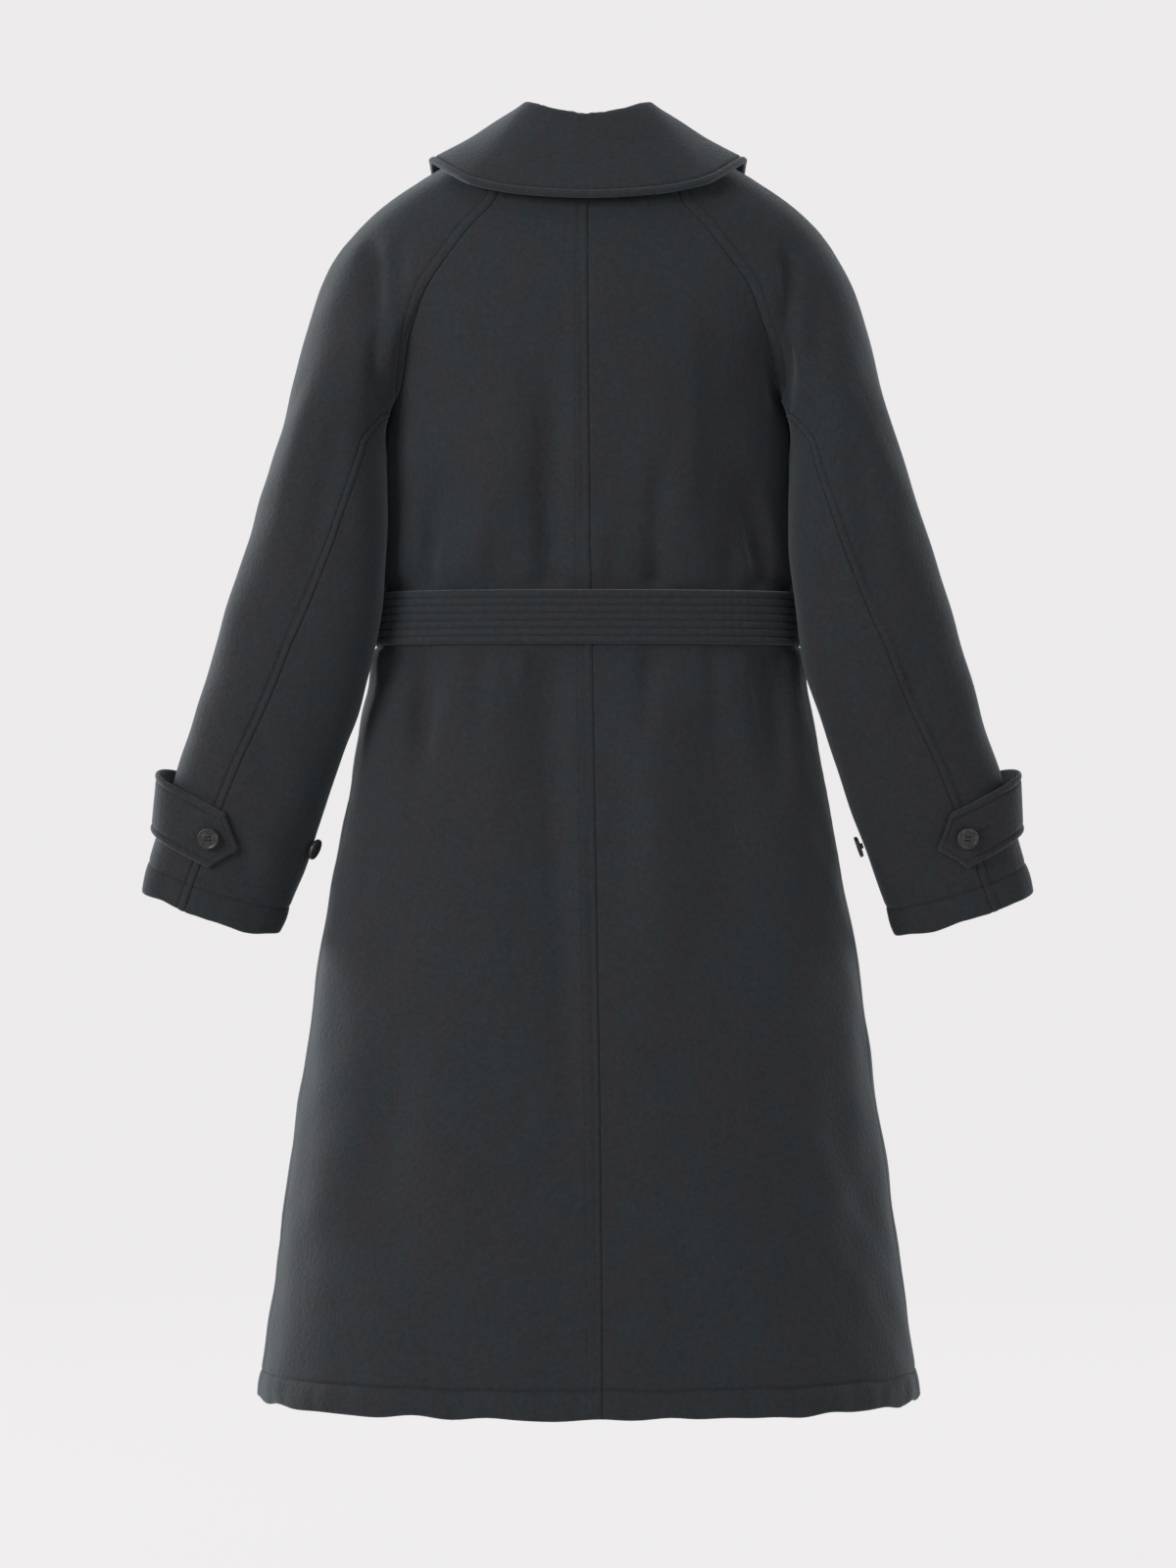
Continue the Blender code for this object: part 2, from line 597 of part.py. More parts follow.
def collar():
    """Stand, roll and fall in one wall, from one front end round the back to the other."""
    neck = [along(NECK_BACK_LINE, np.array([0.0, 0.5, 1.0])), along(NECK_FRONT_LINE, np.array([1.0, 0.72, 0.36, 0.06]))]
    angles = np.concatenate([neck[0][0], [np.pi / 2], neck[1][0]])
    heights = np.concatenate([neck[0][1], [NECK_HEIGHT], neck[1][1]])
    table = np.array(COLLAR)
    stations = np.arange(len(table), dtype=float)
    both = np.concatenate([-stations[:0:-1], stations])
    at = np.linspace(both[0], both[-1], COLLAR_STATIONS)

    def round_neck(values, odd):
        sign = -1.0 if odd else 1.0
        return spline(both, np.concatenate([sign * values[:0:-1], values]), at)

    angle = round_neck(angles, True)
    height = round_neck(heights, False)
    normal = body_normal(angle, height)
    flat = np.array([1.0, 1.0, 0.0])
    away = unit(np.stack([np.sin(angle), -np.cos(angle), np.zeros(len(at))], -1))
    face = np.abs((away * flat * normal).sum(-1, keepdims=True))
    base = body_point(angle, height) + normal * (COLLAR_GAP + face * COLLAR_WALL / 2)
    roll = np.stack([round_neck(table[:, k], k == 0) for k in range(3)], -1)
    edge = np.stack([round_neck(table[:, k + 3], k == 0) for k in range(3)], -1)
    outward = unit((edge - roll) * flat)
    up = np.array([0.0, 0.0, 1.0])
    stand = base + 0.5 * (roll - base) - outward * COLLAR_ROLL * 0.6
    start = roll + 0.16 * (edge - roll) + outward * COLLAR_ROLL * 0.12 + up * COLLAR_ROLL * 0.20
    middle = 0.45 * roll + 0.55 * edge
    keys = np.stack([base, stand, roll, start, middle, edge], axis=1)
    length = np.cumsum(np.linalg.norm(np.diff(keys, axis=1), axis=2), axis=1)
    length = np.concatenate([np.zeros((len(at), 1)), length], axis=1)
    share = np.array(COLLAR_SHARES)
    rows = []
    for k in range(len(at)):
        place = np.interp(share, np.linspace(0, 1, keys.shape[1]), length[k])
        rows.append(np.stack([spline(length[k], keys[k, :, c], place) for c in range(3)], -1))
    middle_wall = np.array(rows)
    round_it = np.gradient(middle_wall, axis=0)
    along_it = np.gradient(middle_wall, axis=1)
    face = unit(np.cross(round_it, along_it)) * COLLAR_WALL / 2
    return wall("collar", middle_wall + face, middle_wall - face)


def belt_point(angle, height, out):
    return body_point(angle, height) + body_normal(angle, height) * np.asarray(out)[..., None]


def belt():
    """A flat band round the waist, its outer face raised in channels between stitch rows."""
    angle = np.linspace(0, 2 * np.pi, BELT_STATIONS, endpoint=False)
    angle = np.where(angle > np.pi, angle - 2 * np.pi, angle)
    count = 2 * BELT_CHANNELS + 1
    level = BELT_HEIGHT + np.linspace(-0.5, 0.5, count) * BELT_WIDTH
    rise = BELT_THICKNESS + BELT_CHANNEL_RISE * (np.arange(count) % 2)
    heights = np.concatenate([level, [level[-1], level[0]]])
    outs = REST_GAP + np.concatenate([rise, [0.0, 0.0]])
    rings = belt_point(angle[:, None], heights[None, :] + np.zeros((len(angle), 1)), outs[None, :])
    return tube("belt", rings, BELT_COLOUR)


def front_face(across, height):
    angle = np.sign(across) * angle_at(np.abs(across), height, True)
    return body_point(np.where(across == 0, np.pi, angle), height)


def belt_knot():
    """The lump where the belt's two ends cross, a little to the wearer's left of the middle."""
    seat = front_face(np.array(KNOT_ACROSS), np.array(BELT_HEIGHT))[1]
    rest = REST_GAP + BELT_THICKNESS + BELT_CHANNEL_RISE + REST_GAP
    centre = np.array([KNOT_ACROSS, seat + rest + KNOT_SIZE[1], BELT_HEIGHT])
    tilt = np.linspace(-1, 1, 13) * math.radians(80)
    turn = np.linspace(0, 2 * np.pi, 24, endpoint=False)
    waist = 1 - 0.10 * np.cos(3 * turn)
    rings = []
    for t in tilt:
        radius = math.cos(t) ** 0.75
        x = KNOT_SIZE[0] * radius * np.cos(turn) * waist
        y = KNOT_SIZE[1] * radius * np.sin(turn)
        z = np.full(turn.shape, KNOT_SIZE[2] * math.sin(t) / math.sin(math.radians(80)))
        rings.append(centre + np.stack([x, y, z], -1))
    return capped("belt_knot", np.array(rings), BELT_COLOUR), centre


def belt_tail(side, centre):
    """One free end of the belt, hanging from the knot on to the skirt's front."""
    name = "belt_tail_right" if side > 0 else "belt_tail_left"
    length = TAIL_LENGTHS[0] if side > 0 else TAIL_LENGTHS[1]
    row = np.linspace(0, 1, 12)[:, None]
    column = np.linspace(-1, 1, 6)[None, :]
    top = BELT_HEIGHT - KNOT_SIZE[2] - REST_GAP
    half = TAIL_NECK + (BELT_WIDTH / 2 - TAIL_NECK) * smooth(0, 0.35, row)
    middle = KNOT_ACROSS + side * (TAIL_NECK + 0.001 + TAIL_SPREAD * row)
    across = middle + half * column
    height = top - length * row + 0 * column
    skirt = front_face(across, height)
    hang = (centre[1] - 0.004 - skirt[..., 1]) * (1 - smooth(0, 0.40, row))
    lift = np.maximum(hang, 0) + TAIL_CLEAR
    inner = skirt + np.array([0, 1.0, 0]) * lift[..., None]
    outer = inner + np.array([0, BELT_THICKNESS, 0])
    return wall(name, outer, inner, BELT_COLOUR)


def tab_line(turn, share, side):
    mirror = np.array([side, 1, 1])
    return sleeve_point(turn, share) * mirror, sleeve_normal(turn, share) * mirror


ARM_LENGTH = float(np.linalg.norm(np.diff(np.array(SLEEVE)[:, :3], axis=0), axis=1).sum())
SHARE_PER_METRE = (1 - CAP_SHARE) / ARM_LENGTH


def cuff_tab(side):
    """A strap from the front of the cuff round its outer edge to a point on the back, standing off at its top."""
    turn = np.concatenate([np.linspace(TAB_START, TAB_CORNER, TAB_COLUMNS), [0.5 * (TAB_CORNER + TAB_TIP), TAB_TIP]])
    middle = 1 - (TAB_FROM_CUFF + TAB_RISE * np.cos(np.radians(turn))[:, None]) * SHARE_PER_METRE
    half = np.full(len(turn), TAB_WIDTH / 2)
    half[-2] = TAB_WIDTH * 0.27
    half[-1] = TAB_WIDTH * 0.03
    across = np.linspace(-1, 1, 5)
    share = middle + (half[:, None] * across[None, :]) * SHARE_PER_METRE
    turns = np.broadcast_to(turn[:, None], share.shape)
    point, normal = tab_line(turns, share, side)
    bow = smooth(TAB_START, -45, turns) * (1 - smooth(0, 55, turns))
    off = REST_GAP + TAB_STAND_OFF * bow * (0.55 - 0.45 * across[None, :])
    inner = point + normal * off[..., None]
    outer = inner + normal * TAB_THICKNESS
    return wall("cuff_tab_right" if side > 0 else "cuff_tab_left", outer, inner)


BUTTON_PROFILE = (
    (0.26, 0.0),
    (0.26, 0.35),
    (0.80, 0.38),
    (0.98, 0.55),
    (1.00, 0.75),
    (0.94, 0.98),
    (0.84, 1.00),
    (0.72, 0.90),
    (0.25, 0.86),
)


def button(name, seat, normal):
    """A turned button with a raised rim, on its thread shank."""
    profile = np.array(BUTTON_PROFILE)
    turn = np.linspace(0, 2 * np.pi, 20, endpoint=False)
    first = unit(np.cross(normal, np.array([0.0, 0.0, 1.0])))
    second = np.cross(normal, first)
    tall = SHANK_LENGTH + BUTTON_THICKNESS
    rings = []
    for radius, rise in profile:
        spoke = np.cos(turn)[:, None] * first + np.sin(turn)[:, None] * second
        rings.append(seat + spoke * radius * BUTTON_RADIUS + normal * rise * tall)
    return capped(name, np.array(rings), BUTTON_COLOUR, 0.45)


def tab_button(side):
    share = 1 - (TAB_FROM_CUFF + TAB_RISE * np.cos(np.radians(TAB_BUTTON_TURN))) * SHARE_PER_METRE
    point, normal = tab_line(np.array(TAB_BUTTON_TURN), np.array(share), side)
    seat = point + normal * (REST_GAP + TAB_THICKNESS + SEAM_GAP)
    return button("tab_button_right" if side > 0 else "tab_button_left", seat, normal)


def cuff_button(side):
    turn = CUFF_BUTTON_TURNS[0] if side > 0 else CUFF_BUTTON_TURNS[1]
    share = np.array(1 - CUFF_BUTTON_FROM_EDGE * SHARE_PER_METRE)
    point, normal = tab_line(np.array(turn), share, side)
    seat = point + normal * SEAM_GAP
    return button("cuff_button_right" if side > 0 else "cuff_button_left", seat, normal)


for half in (1, -1):
    back_panel(half)
    front_panel(half)
    sleeve_piece(half, True)
    sleeve_piece(half, False)
    cuff_tab(half)
    tab_button(half)
    cuff_button(half)
collar()
belt()
knot, knot_centre = belt_knot()
for half in (1, -1):
    belt_tail(half, knot_centre)
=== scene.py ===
import math

import bpy
import numpy as np
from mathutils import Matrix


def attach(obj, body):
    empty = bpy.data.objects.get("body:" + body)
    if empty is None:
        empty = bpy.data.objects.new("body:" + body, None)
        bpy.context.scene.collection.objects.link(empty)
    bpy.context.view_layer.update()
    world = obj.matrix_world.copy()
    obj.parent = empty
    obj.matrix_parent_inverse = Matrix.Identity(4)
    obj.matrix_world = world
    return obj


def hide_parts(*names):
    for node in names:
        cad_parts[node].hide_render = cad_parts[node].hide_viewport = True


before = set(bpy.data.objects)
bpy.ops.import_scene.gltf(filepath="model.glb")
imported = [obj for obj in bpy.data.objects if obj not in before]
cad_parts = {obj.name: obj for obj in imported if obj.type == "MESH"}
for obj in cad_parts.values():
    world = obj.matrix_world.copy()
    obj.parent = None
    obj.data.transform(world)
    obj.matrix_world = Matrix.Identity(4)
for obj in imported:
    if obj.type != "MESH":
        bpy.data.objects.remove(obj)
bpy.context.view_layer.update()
print("frame loaded:", len(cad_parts), "nodes")


def spline(stations, values, at):
    # cubic between table rows; each row's slope is the harmonic mean of its two neighbours', so no row is overshot
    stations = np.asarray(stations, float)
    values = np.asarray(values, float)
    step = np.diff(stations)
    slope = np.diff(values) / step
    tangent = np.empty_like(values)
    tangent[0] = slope[0]
    tangent[-1] = slope[-1]
    same = slope[:-1] * slope[1:] > 0
    safe = np.where(same, slope[:-1] + slope[1:], 1.0)
    tangent[1:-1] = np.where(same, 2 * slope[:-1] * slope[1:] / safe, 0.0)
    at = np.asarray(at, float)
    k = np.clip(np.searchsorted(stations, at) - 1, 0, len(step) - 1)
    t = (at - stations[k]) / step[k]
    bend = 3 * (values[k + 1] - values[k]) - step[k] * (2 * tangent[k] + tangent[k + 1])
    curl = 2 * (values[k] - values[k + 1]) + step[k] * (tangent[k] + tangent[k + 1])
    return values[k] + step[k] * tangent[k] * t + bend * t**2 + curl * t**3


def smooth(low, high, value):
    # 3t^2 - 2t^3 from 0 at low to 1 at high
    t = np.clip((np.asarray(value, float) - low) / (high - low), 0.0, 1.0)
    return t * t * (3 - 2 * t)


def bell(value, middle, half):
    # e to the minus square of the distance from the middle in half widths
    return np.exp(-(((value - middle) / half) ** 2))


def unit(vectors):
    return vectors / np.linalg.norm(vectors, axis=-1, keepdims=True)


def cloudy(points, length, seed, waves=10):
    # sum of sine waves of about one length in seeded directions, mostly between -1 and 1
    rng = np.random.default_rng(seed)
    ways = unit(rng.normal(size=(waves, 3))) * (2 * np.pi / length) * rng.uniform(0.7, 1.4, (waves, 1))
    phase = rng.uniform(0, 2 * np.pi, waves)
    return np.sin(points @ ways.T + phase).sum(-1) / waves**0.5 / 1.3


def uneven(distance, length, seed):
    # sum of five sine waves along a line, about one length long and never in step
    rng = np.random.default_rng(seed)
    turns = 2 * np.pi / length * rng.uniform(0.55, 1.7, 5)
    phase = rng.uniform(0, 2 * np.pi, 5)
    return np.sin(np.asarray(distance)[..., None] * turns + phase).sum(-1) / 3.2


def runLength(points, axis):
    # length from the first row or column to each point
    step = np.linalg.norm(np.diff(points, axis=axis), axis=-1)
    start = np.zeros_like(np.take(step, [0], axis=axis))
    return np.concatenate([start, np.cumsum(step, axis=axis)], axis=axis)


def edgeDistances(form):
    # lengths from the first and last row and the first and last column
    down = runLength(form, 0)
    across = runLength(form, 1)
    return down, down[-1:] - down, across, across[:, -1:] - across


def sharesOf(width, near, steps):
    # shares of a width: fixed distances in from both ends with even steps between them
    start = np.asarray(near)[None, :] / np.asarray(width)[:, None]
    start = start * np.minimum(1.0, 0.42 / start[:, -1:])
    even = np.linspace(0, 1, steps + 1)[None, 1:-1]
    between = start[:, -1:] + (1 - 2 * start[:, -1:]) * even
    return np.concatenate([start, between, 1 - start[:, ::-1]], axis=1)


def roundOff(distance, radius):
    # quarter circle: from an eighth at the edge to 1 one radius in
    inset = 1 - np.clip(distance / radius, 0.0, 1.0)
    return np.maximum(np.sqrt(1 - inset**2), 0.12)


def thicken(form, normal, wall, relief, fromEdge=None):
    # two faces half a wall from the middle one, drawn together at a free edge; relief moves the outer face alone
    half = np.full(form.shape[:2], wall / 2)
    if fromEdge is not None:
        half = half * roundOff(fromEdge, wall / 2)
    middle = form - normal * (wall / 2)
    return middle + normal * (half + relief)[..., None], middle - normal * half[..., None]


def gridQuads(index):
    corners = (index[:-1, :-1], index[:-1, 1:], index[1:, 1:], index[1:, :-1])
    return np.stack(corners, -1).reshape(-1, 4)


def stripQuads(top, low):
    return np.stack([top[1:], top[:-1], low[:-1], low[1:]], -1)


def closedWall(outer, inner):
    # two grids joined along their four edges
    rows, columns = outer.shape[:2]
    index = np.arange(rows * columns).reshape(rows, columns)
    under = index + rows * columns
    quads = [gridQuads(index), gridQuads(under)[:, ::-1]]
    quads.append(stripQuads(index[0], under[0]))
    quads.append(stripQuads(index[-1][::-1], under[-1][::-1]))
    quads.append(stripQuads(index[::-1, 0], under[::-1, 0]))
    quads.append(stripQuads(index[:, -1], under[:, -1]))
    return np.concatenate([outer.reshape(-1, 3), inner.reshape(-1, 3)]), np.concatenate(quads)


def closedRings(rings, joined):
    # closed sections carried along a path; joined closes the path, and otherwise each end is drawn to its middle
    if not joined:
        ends = [rings[:1].mean(1, keepdims=True), rings[-1:].mean(1, keepdims=True)]
        wide = [np.repeat(end, rings.shape[1], axis=1) for end in ends]
        rings = np.concatenate([wide[0], rings, wide[1]])
    count, size = rings.shape[:2]
    index = np.arange(count * size).reshape(count, size)
    index = np.concatenate([index, index[:, :1]], axis=1)
    if joined:
        index = np.concatenate([index, index[:1]], axis=0)
    return rings.reshape(-1, 3), gridQuads(index)


def signedVolume(points, quads):
    # sum of the boxes that each face makes with the origin, below nothing where faces point inwards
    a, b, c, d = (points[quads[:, k]] for k in range(4))
    return (a * np.cross(b, c)).sum() + (a * np.cross(c, d)).sum()


def makePiece(name, points, quads, material, nodes=(), paintedShade=None):
    # puts the arrays into a mesh, turns its faces outwards and rides it on the coat
    if signedVolume(points, quads) < 0:
        quads = quads[:, ::-1]
    mesh = bpy.data.meshes.new(name)
    mesh.vertices.add(len(points))
    mesh.vertices.foreach_set("co", np.ascontiguousarray(points, dtype=np.float32).ravel())
    mesh.loops.add(quads.size)
    mesh.loops.foreach_set("vertex_index", np.ascontiguousarray(quads, dtype=np.int32).ravel())
    mesh.polygons.add(len(quads))
    mesh.polygons.foreach_set("loop_start", np.arange(0, quads.size, 4, dtype=np.int32))
    if paintedShade is not None:
        # painted shade amount for each point, read by the cloth material
        layer = mesh.attributes.new("paintedShade", "FLOAT", "POINT")
        layer.data.foreach_set("value", np.ascontiguousarray(paintedShade, dtype=np.float32))
    mesh.update(calc_edges=True)
    mesh.validate()
    mesh.shade_smooth()
    mesh.materials.append(material)
    piece = bpy.data.objects.new(name, mesh)
    bpy.context.scene.collection.objects.link(piece)
    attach(piece, "root")
    if nodes:
        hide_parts(*nodes)
    return piece


def makeSheet(name, outer, inner, material, relief):
    # a cloth wall; paintedShade holds painted shade for its stitched and ditched grooves
    points, quads = closedWall(outer, inner)
    # painted shade: 1 where the outer face sinks a ditch's depth or more, 0 where it does not sink
    low = np.clip(-relief / seam["depth"], 0.0, 1.0)
    paintedShade = np.concatenate([low.ravel(), np.zeros(low.size)])
    piece = makePiece(name + "_cloth", points, quads, material, (name,), paintedShade)
    return piece


# camera: level, straight at the back of the coat
shot = {"distance": 4.5, "height": -0.587, "frameHeight": 1.468, "sensor": 36.0}

lens = bpy.data.cameras.new("shot")
lens.sensor_width = shot["sensor"]
lens.lens = shot["sensor"] * shot["distance"] / shot["frameHeight"]
camera = bpy.data.objects.new("shot", lens)
camera.location = (0.0, -shot["distance"], shot["height"])
camera.rotation_euler = (math.pi / 2, 0.0, 0.0)
bpy.context.scene.collection.objects.link(camera)
bpy.context.scene.camera = camera


def addNode(tree, kind, inputs=None, **settings):
    made = tree.nodes.new(kind)
    for key, value in settings.items():
        setattr(made, key, value)
    for key, value in (inputs or {}).items():
        if isinstance(value, bpy.types.NodeSocket):
            tree.links.new(value, made.inputs[key])
        else:
            made.inputs[key].default_value = value
    return made


def newMaterial(name):
    made = bpy.data.materials.new(name)
    made.use_nodes = True
    tree = made.node_tree
    return made, tree, tree.nodes["Principled BSDF"]


def tones(tree, factor, stops):
    # colour ramp from pairs of place and colour
    ramp = addNode(tree, "ShaderNodeValToRGB", {"Fac": factor})
    while len(ramp.color_ramp.elements) < len(stops):
        ramp.color_ramp.elements.new(0.5)
    for element, (place, colour) in zip(ramp.color_ramp.elements, stops):
        element.position = place
        element.color = (*colour, 1.0)
    return ramp.outputs["Color"]


peachedCloth = {
    "teal": (0.0176, 0.0238, 0.0270),
    "plain": (0.0190, 0.0216, 0.0246),
    "plum": (0.0216, 0.0208, 0.0242),
    "stretch": (1.0, 1.0, 0.6),
    "cloudScale": 9.0,
    "mottleScale": 55.0,
    "grainScale": 900.0,
    "crinkleScale": 260.0,
    "roughness": 0.92,
    "sheen": 0.30,
}


def clothMaterial(name, lift):
    # microfibre: cloudy dye, small mottles and a napped grain, with painted shade darkening its seam ditches and stitch
    # grooves
    made, tree, shader = newMaterial(name)
    place = addNode(tree, "ShaderNodeTexCoord").outputs["Object"]
    upright = addNode(tree, "ShaderNodeMapping", {"Vector": place, "Scale": peachedCloth["stretch"]}).outputs["Vector"]
    cloud = addNode(
        tree, "ShaderNodeTexNoise", {"Vector": upright, "Scale": peachedCloth["cloudScale"], "Detail": 3.0}
    )
    mottle = addNode(
        tree,
        "ShaderNodeTexNoise",
        {"Vector": upright, "Scale": peachedCloth["mottleScale"], "Detail": 5.0, "Roughness": 0.62, "Distortion": 0.4},
    )
    grain = addNode(
        tree, "ShaderNodeTexNoise", {"Vector": place, "Scale": peachedCloth["grainScale"], "Detail": 2.0}
    )
    crinkle = addNode(
        tree,
        "ShaderNodeTexNoise",
        {"Vector": place, "Scale": peachedCloth["crinkleScale"], "Detail": 4.0, "Roughness": 0.55},
    )
    both = addNode(
        tree, "ShaderNodeMix", {"Factor": 0.62, "A": cloud.outputs["Fac"], "B": mottle.outputs["Fac"]}
    )
    wide = tones(
        tree,
        both.outputs["Result"],
        ((0.39, peachedCloth["teal"]), (0.49, peachedCloth["plain"]), (0.59, peachedCloth["plum"])),
    )
    speck = addNode(
        tree, "ShaderNodeMix", {"Factor": 0.65, "A": grain.outputs["Fac"], "B": crinkle.outputs["Fac"]}
    )
    shade = addNode(
        tree,
        "ShaderNodeMapRange",
        {
            "Value": speck.outputs["Result"],
            "From Min": 0.3,
            "From Max": 0.7,
            "To Min": 0.72 * lift,
            "To Max": 1.28 * lift,
        },
    )
    # painted shade: the colour falls to 0.72 of itself where the paintedShade attribute reaches 1
    paintedShade = addNode(tree, "ShaderNodeAttribute", attribute_name="paintedShade")
    darker = addNode(
        tree, "ShaderNodeMapRange", {"Value": paintedShade.outputs["Fac"], "To Min": 1.0, "To Max": 0.72}
    )
    amount = addNode(
        tree, "ShaderNodeMath", {0: shade.outputs["Result"], 1: darker.outputs["Result"]}, operation="MULTIPLY"
    )
    colour = addNode(
        tree, "ShaderNodeVectorMath", {0: wide, "Scale": amount.outputs[0]}, operation="SCALE"
    )
    nap = addNode(
        tree, "ShaderNodeBump", {"Strength": 0.35, "Distance": 0.0006, "Height": grain.outputs["Fac"]}
    )
    crumple = addNode(
        tree,
        "ShaderNodeBump",
        {"Strength": 0.5, "Distance": 0.0016, "Height": crinkle.outputs["Fac"], "Normal": nap.outputs["Normal"]},
    )
    tree.links.new(colour.outputs["Vector"], shader.inputs["Base Color"])
    tree.links.new(crumple.outputs["Normal"], shader.inputs["Normal"])
    shader.inputs["Roughness"].default_value = peachedCloth["roughness"]
    shader.inputs["Specular IOR Level"].default_value = 0.25
    shader.inputs["Sheen Weight"].default_value = peachedCloth["sheen"]
    shader.inputs["Sheen Roughness"].default_value = 0.45
    shader.inputs["Sheen Tint"].default_value = (0.62, 0.70, 0.76, 1.0)
    return made


def threadMaterial():
    # twisted sewing thread, nearly black with a plum cast
    made, tree, shader = newMaterial("sewingThread")
    place = addNode(tree, "ShaderNodeTexCoord").outputs["Object"]
    twist = addNode(tree, "ShaderNodeTexNoise", {"Vector": place, "Scale": 1400.0, "Detail": 2.0})
    colour = tones(
        tree, twist.outputs["Fac"], ((0.35, (0.0055, 0.0050, 0.0065)), (0.65, (0.0120, 0.0112, 0.0135)))
    )
    tree.links.new(colour, shader.inputs["Base Color"])
    shader.inputs["Roughness"].default_value = 0.7
    return made


def hornMaterial():
    # dark polished horn, grey with brown clouds
    made, tree, shader = newMaterial("darkHorn")
    place = addNode(tree, "ShaderNodeTexCoord").outputs["Object"]
    cloud = addNode(
        tree, "ShaderNodeTexNoise", {"Vector": place, "Scale": 130.0, "Detail": 3.0, "Distortion": 1.2}
    )
    colour = tones(
        tree,
        cloud.outputs["Fac"],
        (
            (0.40, (0.0170, 0.0165, 0.0175)),
            (0.58, (0.0310, 0.0295, 0.0300)),
            (0.72, (0.0600, 0.0520, 0.0460)),
        ),
    )
    polish = addNode(
        tree, "ShaderNodeMapRange", {"Value": cloud.outputs["Fac"], "To Min": 0.28, "To Max": 0.40}
    )
    tree.links.new(colour, shader.inputs["Base Color"])
    tree.links.new(polish.outputs["Result"], shader.inputs["Roughness"])
    return made


shellCloth = clothMaterial("peachedCloth", 1.0)
beltCloth = clothMaterial("peachedBeltCloth", 1.06)
thread = threadMaterial()
horn = hornMaterial()
print("materials made")

# sewing shared by all the pieces: ditch at a joined seam, a sunk row of topstitch beside it and a soft welt between
seam = {
    "gap": 0.0003,
    "under": -0.0008,
    "over": 0.0011,
    "depth": 0.0009,
    "half": 0.0009,
    "topstitchAt": 0.0075,
    "raglanStitchAt": 0.0095,
    "sink": 0.0008,
    "sinkHalf": 0.0011,
    "welt": 0.0007,
    "pucker": 0.0004,
    # distances from a seam of the columns beside it
    "near": (
        (0.0, 0.0004, 0.0009, 0.0014, 0.0022, 0.0040, 0.0058)
        + (0.0068, 0.0075, 0.0082, 0.0095, 0.0108, 0.0135, 0.018)
    ),
}
stitch = {"pitch": 0.0037, "length": 0.0029, "radius": 0.00030, "lift": 0.00012}
buttonStitch = {"pitch": 0.0038, "length": 0.0036, "radius": 0.0005, "lift": 0.0}
holeStitch = {"pitch": 0.0010, "length": 0.0017, "radius": 0.0006, "lift": 0.0001}
stitchRows = {"coat": [], "belt": []}


def ditch(distance):
    # a bell-shaped groove on the seam's line
    return -seam["depth"] * bell(distance, 0.0, seam["half"])


def sunkRow(distance, at):
    # a welt from the seam to the stitches and the groove that they pull
    welt = seam["welt"] * np.sin(np.pi * np.clip(distance / at, 0.0, 1.0))
    return welt - seam["sink"] * bell(distance, at, seam["sinkHalf"])


def puckers(distance, alongIt, seed):
    # fine ripples square to a seam, none on its line, where both sides have to meet, and gone two centimetres from it
    return seam["pucker"] * uneven(alongIt, 0.013, seed) * np.exp(-distance / 0.011) * smooth(0.0004, 0.004, distance)


def openSeam(outer, inner, edge, beside, lap):
    # outer edge half a gap back from the seam; inner edge past it or further back, so that nothing shows through
    way = unit(outer[beside] - outer[edge])
    outer[edge] += way * seam["gap"] / 2
    inner[edge] += way * seam[lap]


def sewAlong(rows, points, normals):
    stitchRows[rows].append((np.asarray(points), np.asarray(normals)))


